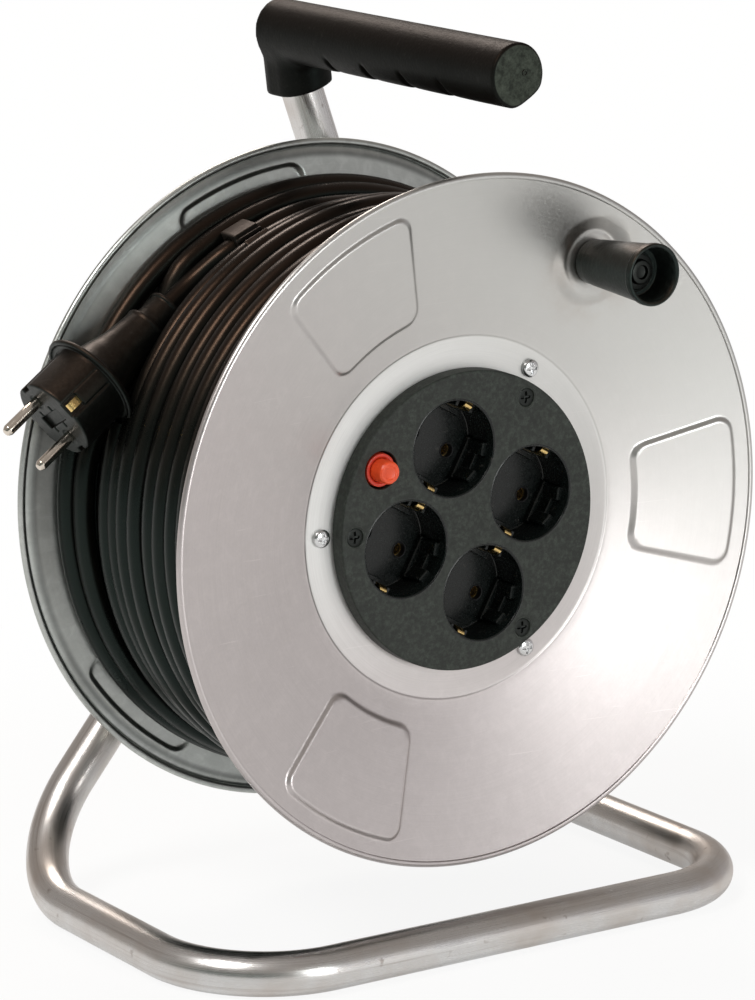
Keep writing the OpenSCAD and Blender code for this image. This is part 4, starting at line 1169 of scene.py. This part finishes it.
# ------------------------------------------------------------------ screws
# neck: (radius, z) under the head's edge; z = 0 is the underside of the head
FLANGE_SCREW = dict(radius=3.75, height=2.5, shank_r=1.7, shank_len=10,
                    neck=[(3.75, 0.5), (3.7, 0.1), (3.6, 0.0), (1.5, 0.0)])
PLATE_SCREW = dict(radius=3.45, height=1.75, shank_r=1.5, shank_len=22, is_flat=True,
                   neck=[(3.3, 1.3), (1.6, 0.0), (1.5, -0.2)], arm_len=0.66, depth=1.2)
HANDLE_SCREW = dict(radius=3.35, height=2.0, shank_r=1.55, shank_len=8,
                    neck=[(3.35, 0.4), (3.3, 0.05), (1.5, 0.0)])


def cross_screw(piece, origin, axes, turn, radius, height, neck, shank_r, shank_len,
                arm_len=0.62, depth=1.1, is_flat=False):
    """a domed or flat head with a cross recess, and its shank; local z points out"""
    count = 72
    turns = np.arange(count) * 2 * pi / count + math.radians(turn)
    rows = []
    for ring in np.concatenate([np.linspace(0, radius * 0.72, 20),
                                np.linspace(radius * 0.76, radius, 9)]):
        x, y = ring * np.cos(turns), ring * np.sin(turns)
        share = ring / radius
        half = radius * 0.16 * (1 - 0.35 * ring / radius)
        arms = [smoothstep(half * 1.35, half * 0.75, np.abs(across))
                * smoothstep(radius * arm_len * 1.12, radius * arm_len * 0.9, np.abs(along))
                for across, along in ((x, y), (y, x))]
        if is_flat:
            z = height - 0.12 * share ** 6
        else:
            dome = np.sqrt(np.clip(1 - (share * 0.985) ** 2.6, 0, 1))
            z = height * (0.45 + 0.55 * dome)
        rows.append(np.c_[x, y, z - depth * np.maximum(*arms) * (1 - 0.35 * share)])
    for ring, z in neck:
        rows.append(np.c_[ring * np.cos(turns), ring * np.sin(turns), np.full(count, z)])
    points = np.vstack(rows + [[[0, 0, neck[-1][1]]]])
    last, middle = (len(rows) - 1) * count, len(points) - 1
    faces = grid_faces(len(rows), count, wrap_columns=True)
    faces += [(last + (k + 1) % count, last + k, middle) for k in range(count)]
    # the first row is a single point
    faces = [tuple(dict.fromkeys(0 if i < count else i for i in face)) for face in faces]
    piece.add(points, [face for face in faces if len(face) > 2], origin, axes)
    piece.lathe([(0, -shank_len), (shank_r * 0.6, -shank_len), (shank_r, -shank_len + 1),
                 (shank_r, 0.2), (0, 0.2)], origin, axes, 24)


def screw_set(name, replaced, body, slot, spots, turns, axes, size):
    piece = Piece()
    for spot, turn in zip(spots, turns):
        cross_screw(piece, spot, axes, turn, **size)
    piece.finish(name, body, slot, replaced, angle=40)


def screw_circle(radius, y):
    return [polar_point(radius, angle, y) for angle in SCREW_ANGLES]


handle_screw_lo, handle_screw_hi = box_mm("handle_screw")
handle_screw_spot = (handle_screw_lo + handle_screw_hi) / 2
handle_screw_spot[1] = handle_screw_hi[1] - HANDLE_SCREW["height"]
screw_set("front_flange_screw_set", "front_flange_screws", "drum", "zinc_steel",
          screw_circle(SCREW_R, -HALF_W + DISH), (20, 55, -10), FRONT, FLANGE_SCREW)
screw_set("rear_flange_screw_set", "rear_flange_screws", "drum", "zinc_steel",
          screw_circle(SCREW_R, HALF_W - DISH), (5, 40, 70), REAR, FLANGE_SCREW)
screw_set("plate_screw_set", "plate_screws", "drum", "dark_steel",
          screw_circle(POST_R, -HALF_W + PLATE_Y + 2.2), (12, 50, 30), FRONT, PLATE_SCREW)
screw_set("handle_screw_cross", "handle_screw", "frame", "zinc_steel",
          [handle_screw_spot], (25,), REAR, HANDLE_SCREW)

# ------------------------------------------------------------------ axle and its nut
axle_lo, axle_hi = box_mm("axle")
AXLE_Z = (axle_lo[2] + axle_hi[2]) / 2
nut_lo, nut_hi = box_mm("axle_nut")
NUT_H = nut_hi[1] - nut_lo[1]


def axle():
    """a rod with a groove near its front end and a thread at the rear"""
    front, rear = axle_lo[1], axle_hi[1]
    pitch = 1.25
    profile = [(0, front), (5.3, front), (5.95, front + 0.5), (5.95, front + 1.9),
               (5.4, front + 1.9), (5.4, front + 3.2), (5.95, front + 3.2), (5.95, 97.0)]
    y = 97.3
    while y < rear - 1.6:
        profile += [(5.4, y), (5.93, y + 0.5), (5.93, y + 0.8), (5.4, y + pitch)]
        y += pitch
    profile += [(5.3, rear - 0.6), (4.7, rear - 0.05), (0, rear)]
    Piece().lathe(profile, (0, 0, AXLE_Z), REAR, 64).finish(
        "axle_threaded", "frame", "zinc_steel", "axle")


def nut_field(x, y, z):
    """a hexagon with chamfered ends and a countersunk bore"""
    radius = np.hypot(x, y)
    hexagon = np.maximum(np.abs(y), np.abs(x) * 0.8660 + np.abs(y) * 0.5) - 9.5
    chamfer = np.maximum(((radius - 9.35) * 0.577 + z - NUT_H) * 0.866,
                         ((radius - 9.35) * 0.577 - z) * 0.866)
    bore = np.maximum(6.08 - radius, (7.0 - radius + (z - NUT_H)) * 0.7)
    ends = np.maximum(chamfer, np.maximum(z - NUT_H, -z))
    return np.maximum(smooth_max(hexagon, ends, 0.3), bore)


axle()
Piece().field((-11.4, -10.2, -0.6), (11.4, 10.2, NUT_H + 0.6), 0.2, nut_field,
              (0, nut_lo[1], AXLE_Z), (X, -Z, Y)).finish(
    "axle_nut_chamfered", "frame", "zinc_steel", "axle_nut", angle=50)


# ------------------------------------------------------------------ overload cut-out, button
def cutout_and_button():
    collar = fillet([
        (4.9, -12, 0), (4.95, -0.75, 0.2), (5.6, -0.35, 0.3), (6.75, -0.4, 0.45),
        (7.0, -3, 0), (6.5, -4, 0), (6.5, -38, 0), (0, -38, 0)])
    piece = Piece().lathe(collar, BUTTON, FRONT, 64)
    piece.lathe([(0, -12), (4.9, -12)], BUTTON, FRONT, 64)
    piece.finish("cutout_collar", "drum", "cutout_red", "thermal_cutout")
    cap = [(0, -1.75)] + fillet([
        (2.3, -1.75, 0), (2.6, -1.65, 0.2), (2.9, -1.35, 0.25), (4.1, -1.3, 0.5),
        (4.65, -2.3, 0.6), (4.76, -14.5, 0)]) + [(0, -14.5)]
    Piece().lathe(cap, (BUTTON[0], -HALF_W, BUTTON[2]), FRONT, 64).finish(
        "button_cap", "button", "button_red", "reset_button", angle=40)


cutout_and_button()

# ------------------------------------------------------------------ crank knob
KNOB_BASE = np.array([KNOB_X, -HALF_W + SEAT_Y, DRUM_Z + KNOB_Z])
KNOB_LEN = 40.6
WASHER_Z = KNOB_LEN - 12 + 0.8


def crank_knob():
    """a tapered knob, hollow at its front end, on a screw with a washer"""
    knob = fillet([
        (5.05, 0.4, 0), (8.6, 0.4, 0), (9.2, 0.7, 0.6), (9.4, 4.2, 0), (9.6, 5.2, 0.4),
        (12.15, KNOB_LEN - 3.4, 0.6), (12.7, KNOB_LEN - 2.4, 0.8),
        (12.7, KNOB_LEN + 0.1, 0.8), (11.9, KNOB_LEN + 0.4, 0.4),
        (11.1, KNOB_LEN - 0.3, 0.4), (10.7, KNOB_LEN - 1.6, 0.5),
        (10.2, KNOB_LEN - 11.6, 0.6), (8.4, KNOB_LEN - 11.6, 0.3),
        (8.1, KNOB_LEN - 11.9, 0.2), (5.05, KNOB_LEN - 11.9, 0), (5.05, 0.4, 0)])
    screw = fillet([
        (0, -7.5, 0), (2.5, -7.5, 0), (3.0, -7.0, 0), (3.0, WASHER_Z + 1.25, 0),
        (5.2, WASHER_Z + 1.25, 0), (5.2, WASHER_Z + 2.0, 0.3), (4.9, WASHER_Z + 3.3, 0.7),
        (2.9, WASHER_Z + 3.5, 0.2), (2.6, WASHER_Z + 2.0, 0.2), (0, WASHER_Z + 1.8, 0)], 4)
    washer = fillet([
        (3.1, WASHER_Z + 0.02, 0), (7.4, WASHER_Z + 0.02, 0), (7.5, WASHER_Z + 0.6, 0.2),
        (7.2, WASHER_Z + 1.2, 0.3), (3.1, WASHER_Z + 1.2, 0), (3.1, WASHER_Z + 0.02, 0)], 3)
    for name, body, slot, replaced, profile, count in (
            ("crank_knob_turned", "knob", "knob_plastic", "crank_knob", knob, 96),
            # painted shade: the screw and washer deep in the knob's cup take the dark steel
            ("crank_screw_low", "drum", "dark_steel", "crank_screw", screw, 48),
            ("crank_washer_ring", "drum", "dark_steel", "crank_washer", washer, 48)):
        Piece().lathe(profile, KNOB_BASE, FRONT, count).finish(
            name, body, slot, replaced, angle=38)


crank_knob()


# ------------------------------------------------------------------ clip
def clip_field(out, side, along):
    """a flat-topped block on the free end, an open ring on the next turn"""
    next_side = side + CABLE_D + 1.6
    first, second = np.hypot(out, side), np.hypot(out, next_side)
    ring_r = CABLE_R + 1.7
    shape = smooth_min(first - ring_r, second - ring_r, 2.0)
    block = np.maximum(np.abs(out - 2.6) - 4.0, np.abs(side - 0.2) - 5.7)
    shape = smooth_min(shape, block, 0.8)
    # the second ring is open on its outer side
    shape = carve(shape, np.abs(next_side) - 2.2, 2.0 - out)
    shape = carve(shape, first - CABLE_R - 0.08)
    shape = carve(shape, second - CABLE_R - 0.08)
    return smooth_max(shape, np.abs(along - 6) - 6.0, 0.8)


Piece().field((-8, -20, -2), (9, 8, 14), 0.3, clip_field, CLIP - CLIP_ALONG * 6,
              (CLIP_OUT, CLIP_SIDE, CLIP_ALONG)).finish(
    "cable_clip_moulded", "drum", "clip_plastic", "cable_clip", angle=50)

# ------------------------------------------------------------------ plug
PLUG_AXES = (PLUG_PINS, PLUG_SIDE, PLUG_OUT)
# the boot's outline: distance behind the face, radius
BOOT_BEHIND = [22, 24.2, 25.5, 27.5, 30, 33.5, 37, 43, 50, 56.5, 57.8, 60, 61]
BOOT_RADII = [18.0, 17.0, 15.4, 14.0, 13.2, 12.4, 11.4, 10.4, 9.6, 9.2, 7.6, 6.9, 6.0]


def plug_field(x, y, z):
    """x along the pin line, y across it, z outwards from the face"""
    radius = np.hypot(x, y)
    wide, high = np.abs(x), np.abs(y)

    def disc(disc_r, behind, half, rounding):
        return smooth_max(radius - disc_r, np.abs(z + behind) - half, rounding)

    body = disc(18.2, 12, 12, 0.9)
    # flats with a groove at both ends of the pin line, channels for the contacts
    body = smooth_max(body, wide - 17.2, 0.5)
    body = carve(body, 15.3 - wide, high - 2.7, -z - 18.5)
    body = carve(body, 16.2 - high, wide - 3.3, -z - 7.5)
    body = carve(body, 17.5 - high, np.abs(wide - 3.6) - 0.45, -z - 21)
    # shallow slots in the face
    body = carve(body, np.abs(y - 0.6) - 9.2, wide - 2.9, -z - 1.6)
    body = carve(body, np.abs(high - 5.2) - 0.5, wide - 5.6, -z - 0.8)
    # finger guard: a thin dished disc with a thicker edge
    dish = z + 23.3 - 0.003 * (radius - 10) ** 2
    guard = smooth_max(radius - 21.6, np.abs(dish) - 0.85, 0.5)
    guard = smooth_min(guard, np.hypot(radius - 21.1, z + 22.6) - 1.15, 0.4)
    # boot with six shallow flutes
    boot = disc(np.interp(-z, BOOT_BEHIND, BOOT_RADII), 41, 19.5, 0.8)
    boot = boot + (0.2 * np.clip(np.cos(np.arctan2(y, x) * 6), 0, 1) ** 2
                   * smoothstep(-56, -52, z) * smoothstep(-37, -41, z))
    # ring, then a sleeve with a lip, where the cable enters
    sleeve = smooth_min(disc(7.2, 63, 6.0, 0.5), disc(8.0, 68.9, 0.8, 0.4), 0.5)
    shape = smooth_min(body, guard, 0.5)
    shape = smooth_min(shape, boot, 0.8)
    shape = smooth_min(shape, disc(9.5, 56.4, 0.7, 0.5), 0.6)
    shape = smooth_min(shape, sleeve, 1.0)
    shape = smooth_min(shape, disc(6.6, 63, 6.8, 0.3), 0.3)
    # a dimple round each pin and the pin's hole
    for side in (-1, 1):
        from_pin = np.hypot(x - side * PIN_HALF, y)
        shape = carve(shape, from_pin - 3.4, -0.5 - z)
        shape = carve(shape, from_pin - 2.15, -11.8 - z)
    return carve(shape, radius - CABLE_R - 0.1, z + 54)


def plug():
    Piece().field((-23.2, -23.2, -71), (23.2, 23.2, 1.2), 0.38, plug_field, PLUG_FACE,
                  PLUG_AXES).finish(
        "plug_moulded", "drum", "plug_rubber", "plug_body", angle=50)
    pin = [(0, -11.8), (2.1, -11.8), (2.1, -0.9), (2.37, -0.6)] + fillet([
        (2.37, -0.6, 0), (2.4, 14.0, 0), (2.4, 17.2, 1.2), (1.5, 18.9, 0.8), (0.0, 19.0, 0)])
    pins = Piece()
    for side in (-1, 1):
        pins.lathe(pin, PLUG_FACE + PLUG_PINS * side * PIN_HALF, PLUG_AXES, 40)
    pins.finish("plug_pin_pair", "drum", "pin_nickel", "plug_pins", angle=40)
    # side contacts: strips that bulge near the face and dip at its edge
    z = np.linspace(-19.3, -0.7, 40)
    rise = -0.55 + 0.75 * np.exp(-((z + 3.6) / 2.2) ** 2) - 0.9 * smoothstep(-2.2, -0.6, z)
    strip = [(across * 1.7, rise[i] - 0.3 + 0.3 * through, z[i])
             for i in range(len(z)) for across, through in STRIP_CORNERS]
    contacts = Piece()
    for side in (-1, 1):
        contacts.add(strip, strip_faces(len(z)), PLUG_FACE + PLUG_SIDE * side * 17.0,
                     (PLUG_PINS, PLUG_SIDE * side, PLUG_OUT))
    contacts.finish("plug_side_contacts", "drum", "contact_brass", "plug_earth_contacts",
                    angle=40)


plug()


# ------------------------------------------------------------------ camera
def camera(place, azimuth, elevation, roll, lens):
    """looks at the reel from the front left; place in metres, angles in degrees"""
    azimuth, elevation, roll = (math.radians(q) for q in (azimuth, elevation, roll))
    right = np.array([math.cos(azimuth), math.sin(azimuth), 0])
    back = np.array([math.sin(azimuth) * math.cos(elevation),
                     -math.cos(azimuth) * math.cos(elevation), math.sin(elevation)])
    cos, sin = math.cos(roll), math.sin(roll)
    rolled = (np.array([[cos, -sin, 0], [sin, cos, 0], [0, 0, 1]])
              @ np.array([right, np.cross(back, right), back]))
    data = bpy.data.cameras.new("camera")
    data.sensor_width = 36
    data.sensor_fit = "AUTO"
    data.lens = lens
    data.clip_end = 50
    made = bpy.data.objects.new("camera", data)
    scene.collection.objects.link(made)
    made.matrix_world = Matrix([[*rolled[:, i], place[i]] for i in range(3)]
                               + [[0, 0, 0, 1]])
    scene.camera = made


camera(place=(-0.9196, -1.33045, 0.5336), azimuth=-34.45, elevation=12.56, roll=-0.48,
       lens=143.4744)


# ------------------------------------------------------------------ lights
def area_light(name, place, aim, size, power, colour):
    light = bpy.data.lights.new(name, "AREA")
    light.energy = power
    light.color = colour
    light.shape = "RECTANGLE"
    light.size, light.size_y = size
    made = bpy.data.objects.new(name, light)
    scene.collection.objects.link(made)
    made.location = place
    made.rotation_euler = (Vector(aim) - Vector(place)).to_track_quat("-Z", "Y").to_euler()


area_light("front_low_box", place=(0.36, -1.95, 0.15), aim=(0.03, 0, 0.15),
           size=(0.5, 0.6), power=9.0, colour=(1.0, 1.0, 1.0))
area_light("front_high_box", place=(0.20, -2.0, 0.70), aim=(-0.05, 0, 0.25),
           size=(0.5, 0.4), power=4.5, colour=(0.95, 1.0, 0.99))
area_light("upper_left_box", place=(-1.3, -0.3, 1.8), aim=(0, 0, 0.2),
           size=(0.7, 0.7), power=22, colour=(1.0, 0.98, 0.96))
area_light("rear_box", place=(0.5, 1.5, 1.7), aim=(0, 0, 0.2),
           size=(0.9, 0.7), power=16, colour=(1.0, 0.90, 0.82))


# ------------------------------------------------------------------ world and floor
def studio_world():
    """dull green at the left, pale at the right, brown behind and overhead, bright below"""
    world = bpy.data.worlds.new("studio")
    scene.world = world
    world.use_nodes = True
    w = Nodes(world.node_tree)
    x, y, z = w.xyz(w.node("ShaderNodeTexCoord", output="Generated"))
    colour = w.tint((0.13, 0.16, 0.145), (0.60, 0.575, 0.58), x,
                    over=(-0.6, 0.55), smooth=True)
    colour = w.tint(colour, (0.50, 0.46, 0.43), y, over=(-0.2, 0.9), smooth=True)
    colour = w.tint(colour, (0.40, 0.365, 0.34), z, over=(0.12, 0.55), smooth=True)
    colour = w.tint(colour, (0.80, 0.79, 0.78), z, over=(-0.02, -0.2), smooth=True)
    around = w.node("ShaderNodeBackground", {"Color": colour, "Strength": 0.85})
    white = w.node("ShaderNodeBackground", {"Color": (1, 1, 1), "Strength": 1.0})
    seen = w.node("ShaderNodeLightPath", output="Is Camera Ray")
    mixed = w.node("ShaderNodeMixShader", {0: seen, 1: around, 2: white})
    w.put(w.tree.nodes.new("ShaderNodeOutputWorld").inputs[0], mixed)


def floor_material():
    """pale floor that turns to even white away from the reel for the camera"""
    m = Material("floor_pale")
    colour = m.tint((0.93, 0.93, 0.925), (0.90, 0.90, 0.895),
                    m.noise(scale=3, detail=3, rough=0.5), over=(0.3, 0.7))
    m.set({"Base Color": colour, "Roughness": 0.7, "Specular IOR Level": 0.2})
    x, y, _ = m.xyz(m.place)
    distance = m.hypot(x, y)
    glow = m.node("ShaderNodeEmission", {"Color": (1.0, 1.0, 0.997), "Strength": 1.0})
    camera_ray, glossy_ray = m.node("ShaderNodeLightPath",
                                    output=("Is Camera Ray", "Is Glossy Ray"))
    # reflections see the floor glow at half strength: painted light on the lower faces of the parts
    seen = m.math("ADD", camera_ray, glossy_ray * 0.5, clamp=True)
    fade = m.ramp(distance, over=(0.20, 0.50), to=(0.90, 1.0), smooth=True) * seen
    m.put(m.output.inputs[0], m.node("ShaderNodeMixShader", {0: fade, 1: m.shader, 2: glow}))


def floor(half):
    mesh = bpy.data.meshes.new("floor")
    mesh.from_pydata([(-half, -half, 0), (half, -half, 0), (half, half, 0),
                      (-half, half, 0)], [], [(0, 1, 2, 3)])
    mesh.materials.append(MATERIALS["floor_pale"])
    made = bpy.data.objects.new("floor", mesh)
    scene.collection.objects.link(made)


studio_world()
floor_material()
floor(half=20.0)

scene.view_settings.view_transform = "Standard"
scene.view_settings.look = "None"
scene.view_settings.exposure = 0.0

# ------------------------------------------------------------------ CAD nodes that stay visible
slot_of = {part["node"]: part["material_slot"] for part in cad["record"]["subparts"]}
for name, node in cad["nodes"].items():
    if not node.hide_render:
        node.data.materials.clear()
        node.data.materials.append(MATERIALS[slot_of[name]])

bpy.context.view_layer.update()
